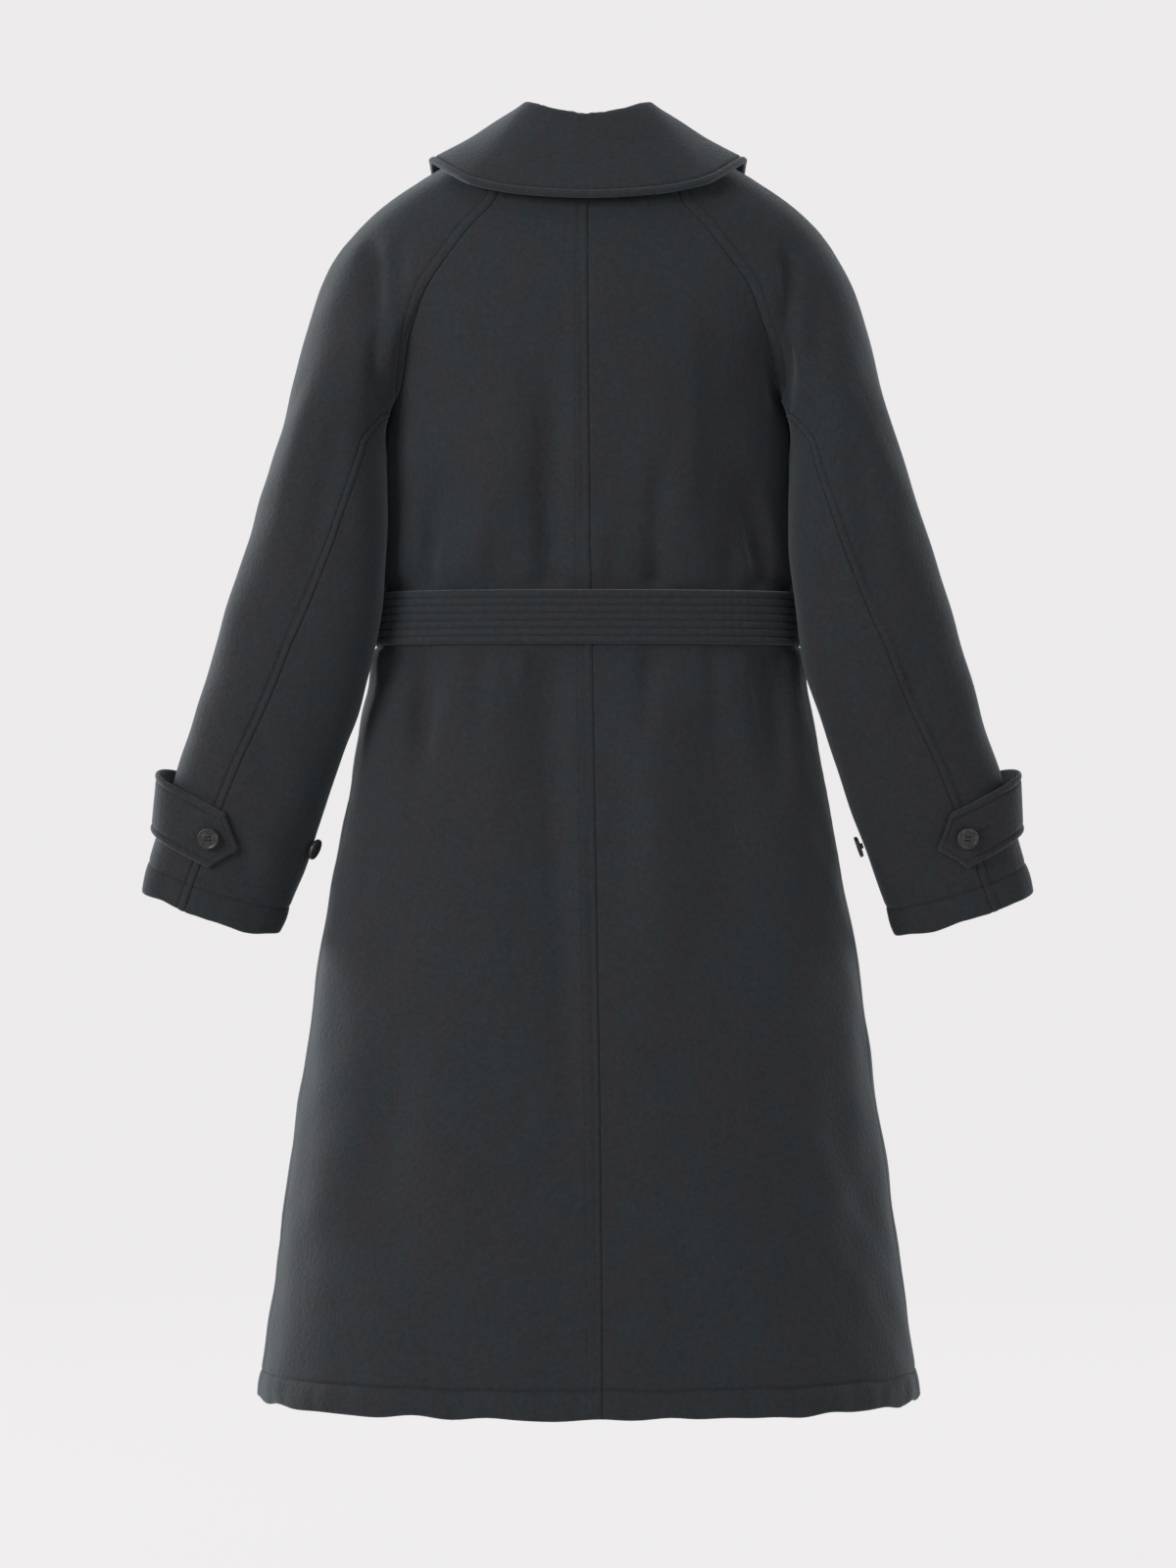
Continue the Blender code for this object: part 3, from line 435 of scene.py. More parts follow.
coatBody = {
    "length": 1.159,
    "wall": 0.005,
    "fullness": 2.3,
    "sideSeam": math.radians(81.0),
    "armpit": -0.243,
    "neckSide": 0.006,
    "backSeamShift": 0.013,
    "overlap": 0.042,
    "overlapRamp": 0.050,
    "layerGap": 0.001,
    "layerMargin": 0.010,
    "reliefRoom": 0.0012,
    "lowerStep": 0.0075,
    "upperRows": 46,
    "backSteps": 50,
    "frontSteps": 56,
    # height, half width, middle, back depth, front depth
    "sections": (
        (-1.159, 0.3100, 0.010, 0.190, 0.190),
        (-1.046, 0.2945, 0.011, 0.177, 0.180),
        (-0.862, 0.2680, 0.013, 0.156, 0.160),
        (-0.679, 0.2400, 0.015, 0.133, 0.138),
        (-0.587, 0.2225, 0.016, 0.120, 0.127),
        (-0.520, 0.2105, 0.016, 0.109, 0.114),
        (-0.466, 0.1980, 0.016, 0.100, 0.104),
        (-0.433, 0.1960, 0.016, 0.099, 0.103),
        (-0.400, 0.1950, 0.016, 0.100, 0.105),
        (-0.350, 0.1920, 0.017, 0.117, 0.122),
        (-0.290, 0.1900, 0.015, 0.130, 0.134),
        (-0.243, 0.1880, 0.014, 0.132, 0.135),
        (-0.200, 0.1940, 0.012, 0.134, 0.133),
        (-0.160, 0.2110, 0.009, 0.131, 0.127),
        (-0.120, 0.2250, 0.004, 0.122, 0.116),
        (-0.085, 0.2190, 0.002, 0.112, 0.098),
        (-0.050, 0.2030, 0.001, 0.099, 0.083),
        (-0.020, 0.1680, 0.000, 0.084, 0.062),
        (0.006, 0.0850, 0.000, 0.068, 0.045),
        (0.020, 0.0200, 0.000, 0.058, 0.036),
    ),
    # distance from the middle, height
    "raglanBack": (
        (0.0600, 0.005),
        (0.0831, -0.0453),
        (0.1120, -0.0803),
        (0.1384, -0.1161),
        (0.1574, -0.1543),
        (0.1678, -0.1888),
        (0.1745, -0.2230),
    ),
    "raglanFront": (
        (0.0750, -0.012),
        (0.1020, -0.0680),
        (0.1330, -0.1150),
        (0.1560, -0.1600),
        (0.1730, -0.2000),
        (0.1815, -0.2310),
    ),
    "neckBack": ((0.0, 0.004), (0.030, 0.0043), (0.060, 0.005)),
    "neckFront": ((0.0, -0.075), (0.030, -0.068), (0.055, -0.048), (0.075, -0.012)),
    # angle at top, angle at foot, top, foot, half angle, rise
    "folds": (
        (-11.0, -9.0, -0.150, -0.395, 6.5, -0.0075),
        (18.0, 15.0, -0.080, -0.395, 6.5, 0.0055),
        (-46.0, -41.0, -0.280, -0.395, 6.0, -0.0060),
        (44.0, 49.0, -0.270, -0.395, 6.5, -0.0065),
        (-27.0, -25.0, -0.260, -0.395, 7.0, 0.0045),
        (-10.0, -7.0, -0.470, -0.900, 6.5, -0.0085),
        (15.0, 14.0, -0.490, -0.860, 7.5, 0.0065),
        (-44.0, -43.0, -0.470, -0.640, 6.0, -0.0065),
        (50.0, 47.0, -0.470, -0.620, 6.0, -0.0065),
        (32.0, 36.0, -0.500, -1.000, 8.0, -0.0040),
        (140.0, 146.0, -0.240, -0.395, 8.0, -0.0060),
        (-138.0, -146.0, -0.240, -0.395, 8.0, -0.0060),
        (148.0, 150.0, -0.470, -0.900, 7.0, -0.0070),
        (-146.0, -150.0, -0.470, -0.940, 7.0, -0.0070),
    ),
}
beltBand = {
    "height": -0.433,
    "width": 0.050,
    "thickness": 0.0045,
    "channels": 7,
    "channelRise": 0.0017,
    "restGap": 0.0005,
    "stations": 480,
    "perChannel": 8,
    "gather": 0.0016,
    "gatherReach": 0.045,
}
bodySections = np.array(coatBody["sections"])


def bodySize(column, height):
    return spline(bodySections[:, 0], bodySections[:, column], height)


def bodyFolds(angle, height):
    # each fold is a bell across its own line, eased in at its top and foot
    total = np.zeros(np.broadcast(angle, height).shape)
    for topAngle, footAngle, top, foot, halfAngle, rise in coatBody["folds"]:
        share = np.clip((top - height) / (top - foot), 0, 1)
        across = bell(np.degrees(angle), topAngle + share * (footAngle - topAngle), halfAngle)
        toBelt = foot > beltBand["height"]
        easeTop = 0.55 * (top - foot) if toBelt else 0.030
        easeFoot = 0.030 if toBelt else 0.75 * (top - foot)
        length = smooth(foot, foot + easeFoot, height) * (1 - smooth(top - easeTop, top, height))
        total = total + rise * across * length
    return total


def bodyPoint(angle, height):
    # flattened ring at each height: half width times a power of the sine, depth times a power of the cosine
    angle, height = np.broadcast_arrays(np.asarray(angle, float), np.asarray(height, float))
    sine, cosine = np.sin(angle), np.cos(angle)
    power = 2 / coatBody["fullness"]
    out = np.sign(sine) * np.abs(sine) ** power
    back = np.sign(cosine) * np.abs(cosine) ** power
    depth = np.where(cosine > 0, bodySize(3, height), bodySize(4, height))
    raised = bodyFolds(angle, height)
    x = (bodySize(1, height) + raised) * out
    y = bodySize(2, height) - (depth + raised) * back
    return np.stack([x, y, height], axis=-1)


def bodyNormal(angle, height):
    # cross product of the steps round and up the body
    small = 0.004
    roundIt = bodyPoint(angle + small, height) - bodyPoint(angle - small, height)
    up = bodyPoint(angle, height + small) - bodyPoint(angle, height - small)
    return unit(np.cross(roundIt, up))


def angleAt(across, height, front):
    # angle from the centre back of a place given by its distance from the middle
    share = np.clip(np.asarray(across, float) / bodySize(1, height), 0.0, 1.0)
    angle = np.arcsin(share ** (coatBody["fullness"] / 2))
    return np.pi - angle if front else angle


def seamLine(table, front, endAngle=None):
    # angles and heights down a seam against its own length as a share
    rows = np.array(table)
    angles = angleAt(rows[:, 0], rows[:, 1], front)
    heights = rows[:, 1]
    if endAngle is not None:
        angles = np.append(angles, endAngle)
        heights = np.append(heights, coatBody["armpit"])
    length = runLength(bodyPoint(angles, heights), 0)
    return length / length[-1], angles, heights


def along(line, share):
    return spline(line[0], line[1], share), spline(line[0], line[2], share)


backLine = seamLine(coatBody["raglanBack"], False, coatBody["sideSeam"])
frontLine = seamLine(coatBody["raglanFront"], True, coatBody["sideSeam"])
neckBackLine = seamLine(coatBody["neckBack"], False)
neckFrontLine = seamLine(coatBody["neckFront"], True)

raglanSleeve = {
    "capShare": 0.42,
    "capEase": 9.0,
    "capEaseSteps": (-1.8, -1.2, -0.6, 0.0, 0.6, 1.2, 1.8),
    "armpitFlare": 0.55,
    "neckArc": 14.0,
    "wall": 0.005,
    "fullness": 2.15,
    "steps": 46,
    "rows": 120,
    # across, forward, height, half width, half depth
    "sections": (
        (0.2370, -0.026, -0.277, 0.0505, 0.0690),
        (0.2500, -0.040, -0.364, 0.0640, 0.0590),
        (0.2715, -0.038, -0.463, 0.0722, 0.0500),
        (0.3020, -0.022, -0.557, 0.0712, 0.0450),
        (0.3335, -0.002, -0.649, 0.0702, 0.0400),
        (0.3530, 0.012, -0.707, 0.0690, 0.0360),
    ),
    # share of the length, turn of the two seams round the arm
    "twist": (
        (0.0, 0.0),
        (0.10, 8.0),
        (0.21, 24.0),
        (0.42, 50.0),
        (0.56, 80.0),
        (0.70, 95.0),
        (0.85, 105.0),
        (1.0, 110.0),
    ),
}
sleeveSections = np.array(raglanSleeve["sections"])
sleeveTwist = np.array(raglanSleeve["twist"])
sleeveLength = runLength(sleeveSections[:, :3], 0)
sharePerMetre = (1 - raglanSleeve["capShare"]) / sleeveLength[-1]


def armhole(turn):
    # angle and height on the body of the armhole seam, at a turn of 0 at the neck, 90 behind and 180 at the armpit
    turn = np.mod(turn, 360.0)
    arc = raglanSleeve["neckArc"]
    backAngle, backHeight = along(backLine, np.clip((turn - arc) / (180 - arc), 0, 1))
    frontAngle, frontHeight = along(frontLine, np.clip((360 - arc - turn) / (180 - arc), 0, 1))
    behind = turn <= 180
    near = np.clip(np.where(behind, turn, 360 - turn) / arc, 0, 1)
    angle = np.pi / 2 + near * (np.where(behind, backAngle, frontAngle) - np.pi / 2)
    height = coatBody["neckSide"] + near * (np.where(behind, backHeight, frontHeight) - coatBody["neckSide"])
    return angle, height


def armholePoint(turn):
    return bodyPoint(*armhole(turn))


def sleeveRing(share):
    # centre, outward, backward and downward directions and half sizes of the sleeve below its cap
    at = share * sleeveLength[-1]
    values = [spline(sleeveLength, sleeveSections[:, k], at) for k in range(5)]
    small = 0.02 * sleeveLength[-1]
    later = np.minimum(at + small, sleeveLength[-1])
    sooner = np.maximum(at - small, 0)
    ahead = np.stack([spline(sleeveLength, sleeveSections[:, k], later) for k in range(3)], -1)
    behind = np.stack([spline(sleeveLength, sleeveSections[:, k], sooner) for k in range(3)], -1)
    down = unit(ahead - behind)
    backward = np.cross(down, np.array([1.0, 0.0, 0.0]))
    backward = unit(np.where(backward[..., 1:2] > 0, -backward, backward))
    outward = np.cross(backward, down)
    outward = unit(np.where(outward[..., :1] < 0, -outward, outward))
    return np.stack(values[:3], -1), outward, backward, down, values[3], values[4]


def ringPoint(turn, share):
    # flattened ring square to the arm
    centre, outward, backward, _, halfWidth, halfDepth = sleeveRing(share)
    a = np.radians(turn)
    power = 2 / raglanSleeve["fullness"]
    out = np.sign(np.cos(a)) * np.abs(np.cos(a)) ** power
    back = np.sign(np.sin(a)) * np.abs(np.sin(a)) ** power
    return centre + (halfWidth * out)[..., None] * outward + (halfDepth * back)[..., None] * backward


def fromShoulder(turn):
    return np.abs(np.mod(turn + 180, 360) - 180)


def capStart(turn):
    # the armhole seam and the way the sleeve leaves it: square to the seam, level over the shoulder, flared below
    angle, height = armhole(turn)
    run = armholePoint(turn + 0.7) - armholePoint(turn - 0.7)
    facing = bodyNormal(angle, height)
    leave = unit(np.cross(facing, run))
    down = sleeveRing(np.zeros(np.shape(turn)))[3]
    over = (1 - smooth(10, 90, fromShoulder(turn)))[..., None]
    side = np.sin(np.radians(turn))
    level = np.stack([np.full(side.shape, 0.97), -0.42 * side, np.full(side.shape, -0.11)], axis=-1)
    level = level - facing * (level * facing).sum(-1, keepdims=True)
    leave = unit((1 - over) * leave + over * unit(level))
    under = smooth(70, 160, fromShoulder(turn))[..., None]
    leave = unit((1 - under) * leave + under * (down + raglanSleeve["armpitFlare"] * facing))
    return armholePoint(turn), leave


def plainSleeve(turn, share):
    # cubic curve from the armhole to the first ring, then the rings down to the cuff
    turn, share = np.broadcast_arrays(np.asarray(turn, float), np.asarray(share, float))
    start, leave = capStart(turn)
    ring = ringPoint(turn, np.zeros(turn.shape))
    reach = np.linalg.norm(ring - start, axis=-1)
    over = 1 - smooth(0, 75, fromShoulder(turn))
    first = start + ((0.30 + 0.28 * over) * reach)[..., None] * leave
    run = unit(ringPoint(turn, np.full(turn.shape, 0.04)) - ring)
    second = ring - ((0.27 + 0.02 * over) * reach)[..., None] * run
    cap = raglanSleeve["capShare"]
    t = np.minimum(share / cap, 1.0)[..., None]
    curve = (1 - t) ** 3 * start + 3 * (1 - t) ** 2 * t * first + 3 * (1 - t) * t**2 * second + t**3 * ring
    arm = ringPoint(turn, np.clip((share - cap) / (1 - cap), 0, 1))
    return np.where((share > cap)[..., None], arm, curve)


def sleevePoint(turn, share):
    # plain sleeve averaged round the shoulder with bell weights, so that the neckline's corners fade out
    turn, share = np.broadcast_arrays(np.asarray(turn, float), np.asarray(share, float))
    spread = raglanSleeve["capEase"] * smooth(0, 0.08, share) * (1 - smooth(0.28, raglanSleeve["capShare"], share))
    spread = spread * (1 - smooth(70, 120, fromShoulder(turn)))
    steps = np.array(raglanSleeve["capEaseSteps"])
    weights = np.exp(-np.square(steps) / 2)
    parts = [weight * plainSleeve(turn + step * spread, share) for step, weight in zip(steps, weights / weights.sum())]
    return sum(parts)


def sleeveNormal(turn, share):
    # cross product of the steps round and down the sleeve
    roundIt = sleevePoint(turn + 0.7, share) - sleevePoint(turn - 0.7, share)
    down = sleevePoint(turn, np.clip(share + 0.006, 0, 1)) - sleevePoint(turn, np.clip(share - 0.006, -0.01, 1))
    return unit(np.cross(roundIt, down))


def armholeNormal(turn):
    # one direction shared by the cloth on both sides of the armhole seam
    angle, height = armhole(turn)
    return unit(bodyNormal(angle, height) + sleeveNormal(turn, np.full(np.shape(turn), 0.012)))


def twistAt(share):
    return spline(sleeveTwist[:, 0], sleeveTwist[:, 1], share)


# listed creases, seen from behind: start across and height, end across and height, half width, rise
drape = {
    "swell": 0.0016,
    "swellLength": 0.13,
    "dimple": 0.0007,
    "dimpleLength": 0.048,
    "calmAbove": (-0.105, -0.060),
    "blouse": 0.0065,
    "deepen": 1.35,
    # height, half height and rise of the side's fullness under the arm and below the belt
    "sides": ((-0.267, 0.013, 0.0032), (-0.470, 0.021, 0.0050)),
    "sideSine": (0.86, 0.98),
    "offBelt": (0.0245, 0.0268),
    "underBelt": (0.022, 0.040),
    "behind": (
        # armholes
        (-0.2010, -0.070, -0.1965, -0.165, 0.0090, -0.0060),
        (-0.1970, -0.120, -0.1900, -0.262, 0.0110, -0.0070),
        (-0.1740, -0.085, -0.1730, -0.165, 0.0085, -0.0030),
        (0.1860, -0.070, 0.1840, -0.180, 0.0100, -0.0065),
        (0.1830, -0.130, 0.1770, -0.262, 0.0110, -0.0070),
        (0.2150, -0.110, 0.2090, -0.220, 0.0120, -0.0035),
        # above the belt
        (-0.0300, -0.170, -0.0430, -0.490, 0.0120, -0.0055),
        (0.0960, -0.090, 0.0880, -0.480, 0.0150, 0.0045),
        (-0.1440, -0.290, -0.1490, -0.490, 0.0100, -0.0050),
        (0.0660, -0.260, 0.0580, -0.480, 0.0105, -0.0055),
        (0.1450, -0.290, 0.1650, -0.490, 0.0120, -0.0050),
        (-0.0880, -0.320, -0.0930, -0.480, 0.0095, -0.0032),
        (0.0220, -0.330, 0.0240, -0.470, 0.0080, -0.0026),
        # below the belt
        (-0.0420, -0.390, -0.0130, -0.960, 0.0140, -0.0052),
        (0.0480, -0.410, 0.0680, -0.800, 0.0190, 0.0042),
        (-0.1570, -0.395, -0.1540, -0.600, 0.0110, -0.0055),
        (0.0570, -0.400, 0.0520, -0.580, 0.0100, -0.0050),
        (0.1660, -0.395, 0.1790, -0.630, 0.0120, -0.0055),
        (-0.0960, -0.400, -0.1020, -0.560, 0.0090, -0.0034),
        (0.1150, -0.400, 0.1190, -0.545, 0.0090, -0.0030),
        (-0.0600, -0.425, -0.0610, -0.505, 0.0060, 0.0035),
        (0.2180, -0.840, 0.2620, -1.030, 0.0200, -0.0032),
        (-0.1700, -0.780, -0.2050, -1.050, 0.0260, -0.0028),
        # sleeves
        (-0.2170, -0.215, -0.2690, -0.440, 0.0125, -0.0034),
        (-0.2500, -0.190, -0.2960, -0.400, 0.0130, 0.0026),
        (-0.3240, -0.500, -0.2830, -0.585, 0.0130, -0.0026),
        (-0.3300, -0.610, -0.3060, -0.690, 0.0120, -0.0022),
        (0.2380, -0.230, 0.2700, -0.430, 0.0130, -0.0032),
        (0.2060, -0.300, 0.2330, -0.440, 0.0110, -0.0026),
        (0.3120, -0.460, 0.2800, -0.560, 0.0130, -0.0024),
    ),
}


def creaseLines(points, normals):
    # each crease is a bell about a straight line, fading at both ends and where the cloth turns away from the back
    total = np.zeros(points.shape[:-1])
    shown = smooth(0.05, 0.45, -normals[..., 1])
    for startX, startZ, endX, endZ, half, rise in drape["behind"]:
        way = np.array([endX - startX, endZ - startZ])
        length = np.linalg.norm(way)
        way = way / length
        x, z = points[..., 0] - startX, points[..., 2] - startZ
        t = x * way[0] + z * way[1]
        off = x * way[1] - z * way[0]
        fade = smooth(0, 0.4 * length, t) * (1 - smooth(0.6 * length, length, t))
        total = total + rise * bell(off, 0.0, half) * fade
    return drape["deepen"] * total * shown


def draped(points, normals):
    # listed creases and a slow unevenness, calm under the collar and where sleeve and side lie close
    across, height = np.abs(points[..., 0]), points[..., 2]
    close = smooth(0.150, 0.172, across) * (1 - smooth(0.205, 0.225, across))
    close = close * smooth(-0.40, -0.34, height) * (1 - smooth(-0.235, -0.200, height))
    calm = (1 - smooth(*drape["calmAbove"], height)) * (1 - close)
    soft = drape["swell"] * cloudy(points, drape["swellLength"], 3)
    soft = soft + drape["dimple"] * cloudy(points, drape["dimpleLength"], 8)
    return points + normals * (soft * calm + creaseLines(points, normals))[..., None]


hem = {
    "stitchAt": 0.026,
    "near": (
        (0.0, 0.0004, 0.001, 0.0017, 0.0025, 0.005, 0.009, 0.014)
        + (0.019, 0.0225, 0.0248, 0.026, 0.0272, 0.0295, 0.034)
    ),
    "puff": 0.0012,
    "wave": 0.0017,
    "waveLength": 0.048,
}


def hemRelief(distance, alongIt, at, seed):
    # a padded roll below the stitch row, uneven along the edge
    roll = hem["puff"] * np.sin(np.pi * np.clip(distance / at, 0, 1)) * (1 + 0.5 * uneven(alongIt, 0.05, seed))
    ripple = 0.0005 * uneven(alongIt, 0.026, seed + 1) * (1 - smooth(0.2 * at, 1.5 * at, distance))
    return roll + ripple - 1.25 * seam["sink"] * bell(distance, at, 1.2 * seam["sinkHalf"])


def beltGathers(angle, height):
    # small uneven pleats that fade away from the belt
    away = np.maximum(np.abs(height - beltBand["height"]) - beltBand["width"] / 2, 0)
    waves = np.sin(19 * angle + 0.4) + 0.9 * np.sin(31 * angle + 2.1) + 0.7 * np.sin(47 * angle + 4.0)
    return beltBand["gather"] * waves / 2 * np.exp(-away / beltBand["gatherReach"]) * smooth(0.0, 0.008, away)


def bloused(angle, height):
    # the cloth swells over the belt's upper edge and tucks in behind it
    above = height - beltBand["height"] - beltBand["width"] / 2
    swell = smooth(0.000, 0.022, above) * (1 - smooth(0.032, 0.100, above))
    return drape["blouse"] * swell * (1 + 0.4 * uneven(angle * 0.2, 0.07, 61))


def sideFullness(angle, height):
    # bells down the side, where the sleeve lies against it
    atSide = smooth(*drape["sideSine"], np.abs(np.sin(angle)))
    offBelt = smooth(*drape["offBelt"], np.abs(height - beltBand["height"]))
    return atSide * offBelt * sum(rise * bell(height, middle, half) for middle, half, rise in drape["sides"])


def bodyForm(points, normals, angle, height):
    # the plain body with its creases, held flat under the belt
    underBelt = smooth(*drape["underBelt"], np.abs(height - beltBand["height"]))[..., None]
    full = beltGathers(angle, height) + bloused(angle, height)
    loose = draped(points, normals) - points + normals * full[..., None]
    return points + loose * underBelt + normals * sideFullness(angle, height)[..., None]


def panelRows(line):
    # heights from hem to armpit, then shares up the raglan seam with the rise that each gives
    even = np.arange(hem["near"][-1], coatBody["length"] + coatBody["armpit"], coatBody["lowerStep"])
    lower = -coatBody["length"] + np.append(hem["near"][:-1], even)
    share = np.linspace(1, 0, coatBody["upperRows"] + 1)
    seamAngle, seamHeight = along(line, share)
    rise = (seamHeight - coatBody["armpit"]) / (seamHeight[-1] - coatBody["armpit"])
    endAngle = np.append(np.full(len(lower), coatBody["sideSeam"]), seamAngle)
    level = np.append(lower, np.full(len(share), coatBody["armpit"]))
    climb = np.append(np.zeros(len(lower)), rise)
    turnShare = np.append(np.ones(len(lower)), share)
    return level, climb, endAngle, turnShare, len(lower)


def backSeamAngle(height):
    # the centre-back seam leans to the wearer's right towards the hem
    return angleAt(coatBody["backSeamShift"] * smooth(0.05, 1.15, -np.asarray(height, float)), height, False)


def finishPanel(name, side, angle, height, turn, firstSeamRow, extras):
    # form, shared seam directions, hem, seams and stitches of one body panel
    points = bodyPoint(angle, height)
    normal = bodyNormal(angle, height)
    mirror = np.array([side, 1, 1])
    shared = armholeNormal(turn) * mirror
    near = (1 - smooth(0, 0.014, edgeDistances(points)[3][firstSeamRow:]))[..., None]
    normal[firstSeamRow:] = unit(normal[firstSeamRow:] * (1 - near) + shared[:, None, :] * near)
    form = bodyForm(points, normal, angle, height)
    fromHem, _, start, end = edgeDistances(form)
    form[..., 2] += hem["wave"] * cloudy(form, hem["waveLength"], 21) * (1 - smooth(0, 0.05, fromHem))
    relief = ditch(end) + hemRelief(fromHem, start, hem["stitchAt"], 31) + puckers(end, fromHem, 12)
    fromEdge = fromHem
    if extras["joined"]:
        relief = relief + ditch(start) + puckers(start, fromHem, 14)
        if extras["stitched"]:
            relief = relief + sunkRow(start, seam["topstitchAt"])
    else:
        form = form + extras["sink"](form, normal)
        relief = relief + sunkRow(start, seam["topstitchAt"])
        fromEdge = np.minimum(fromHem, start)
    outer, inner = thicken(form, normal, coatBody["wall"], relief, fromEdge)
    lap = np.where(np.arange(len(outer)) < firstSeamRow, seam["under" if extras["joined"] else "over"], seam["under"])
    way = unit(outer[:, -2] - outer[:, -1])
    outer[:, -1] += way * seam["gap"] / 2
    inner[:, -1] += way * lap[:, None]
    if extras["joined"]:
        openSeam(outer, inner, np.s_[:, 0], np.s_[:, 1], "under" if side < 0 else "over")
    makeSheet(name, outer, inner, shellCloth, relief)
    row = hem["near"].index(hem["stitchAt"])
    sewAlong("coat", outer[row], normal[row])
    if extras["stitched"]:
        column = seam["near"].index(seam["topstitchAt"])
        sewAlong("coat", outer[:, column], normal[:, column])


def columnsFor(startAngle, endAngle, level, climb, neckHeight, steps):
    # angle even between the two edges of the panel, height climbing towards the neckline
    rough = np.linspace(0, 1, 33)[None, :]
    neck = neckHeight(startAngle[-1] + (endAngle[-1] - startAngle[-1]) * rough[0])
    angle = startAngle[:, None] + (endAngle - startAngle)[:, None] * rough
    height = level[:, None] + climb[:, None] * (neck - coatBody["armpit"])[None, :]
    width = runLength(bodyPoint(angle, height), 1)[:, -1]
    share = sharesOf(width, seam["near"], steps)
    angle = startAngle[:, None] + (endAngle - startAngle)[:, None] * share
    neck = np.interp(share, rough[0], neck)
    return angle, level[:, None] + climb[:, None] * (neck - coatBody["armpit"])


def backPanel(side):
    # half of the back from the centre seam to the side seam and the raglan seam
    level, climb, endAngle, turnShare, lower = panelRows(backLine)
    middle = level + climb * (coatBody["neckBack"][0][1] - coatBody["armpit"])
    neckAngles, neckHeights = neckBackLine[1], neckBackLine[2]
    angle, height = columnsFor(
        side * backSeamAngle(middle), endAngle, level, climb, lambda a: np.interp(a, neckAngles, neckHeights),
        coatBody["backSteps"],
    )
    arc = raglanSleeve["neckArc"]
    turn = arc + turnShare[lower:] * (180 - arc)
    extras = {"joined": True, "stitched": side < 0}
    name = "back_right" if side > 0 else "back_left"
    finishPanel(name, side, angle * side, height, turn, lower, extras)


def frontSink(x):
    # how deep the left front lies below the right one: nothing at the side, wall and gap where they overlap
    edge = -coatBody["overlap"] - coatBody["layerMargin"]
    depth = coatBody["wall"] + coatBody["layerGap"] + coatBody["reliefRoom"]
    return depth * smooth(edge - coatBody["overlapRamp"], edge, x)


def frontPanel(side):
    # half of the front past the middle by the overlap; the wearer's left half sinks below the right
    level, climb, endAngle, turnShare, lower = panelRows(frontLine)
    edgeTop = coatBody["neckFront"][0][1]
    middle = level + climb * (edgeTop - coatBody["armpit"])
    startAngle = 2 * np.pi - angleAt(coatBody["overlap"], middle, True)
    neckAngles, neckHeights = neckFrontLine[1][::-1], neckFrontLine[2][::-1]
    angle, height = columnsFor(
        startAngle, endAngle, level, climb, lambda a: np.interp(a, neckAngles, neckHeights), coatBody["frontSteps"]
    )
    arc = raglanSleeve["neckArc"]
    turn = 360 - arc - turnShare[lower:] * (180 - arc)

    def sink(form, normal):
        if side > 0:
            return np.zeros(form.shape)
        return -normal * frontSink(form[..., :1])

    extras = {"joined": False, "stitched": True, "sink": sink}
    name = "front_right" if side > 0 else "front_left"
    finishPanel(name, side, angle * side, height, turn, lower, extras)


for half in (1, -1):
    backPanel(half)
    frontPanel(half)
print("body panels made")

cuff = {
    "stitchAt": 0.028,
    "near": (
        (0.0, 0.0004, 0.001, 0.0017, 0.0025, 0.005, 0.010, 0.016)
        + (0.022, 0.0255, 0.0268, 0.028, 0.0292, 0.032, 0.037)
    ),
    "wave": 0.0018,
}


def sleeveForm(turn, share, side):
    mirror = np.array([side, 1, 1])
    return sleevePoint(turn, share) * mirror, sleeveNormal(turn, share) * mirror


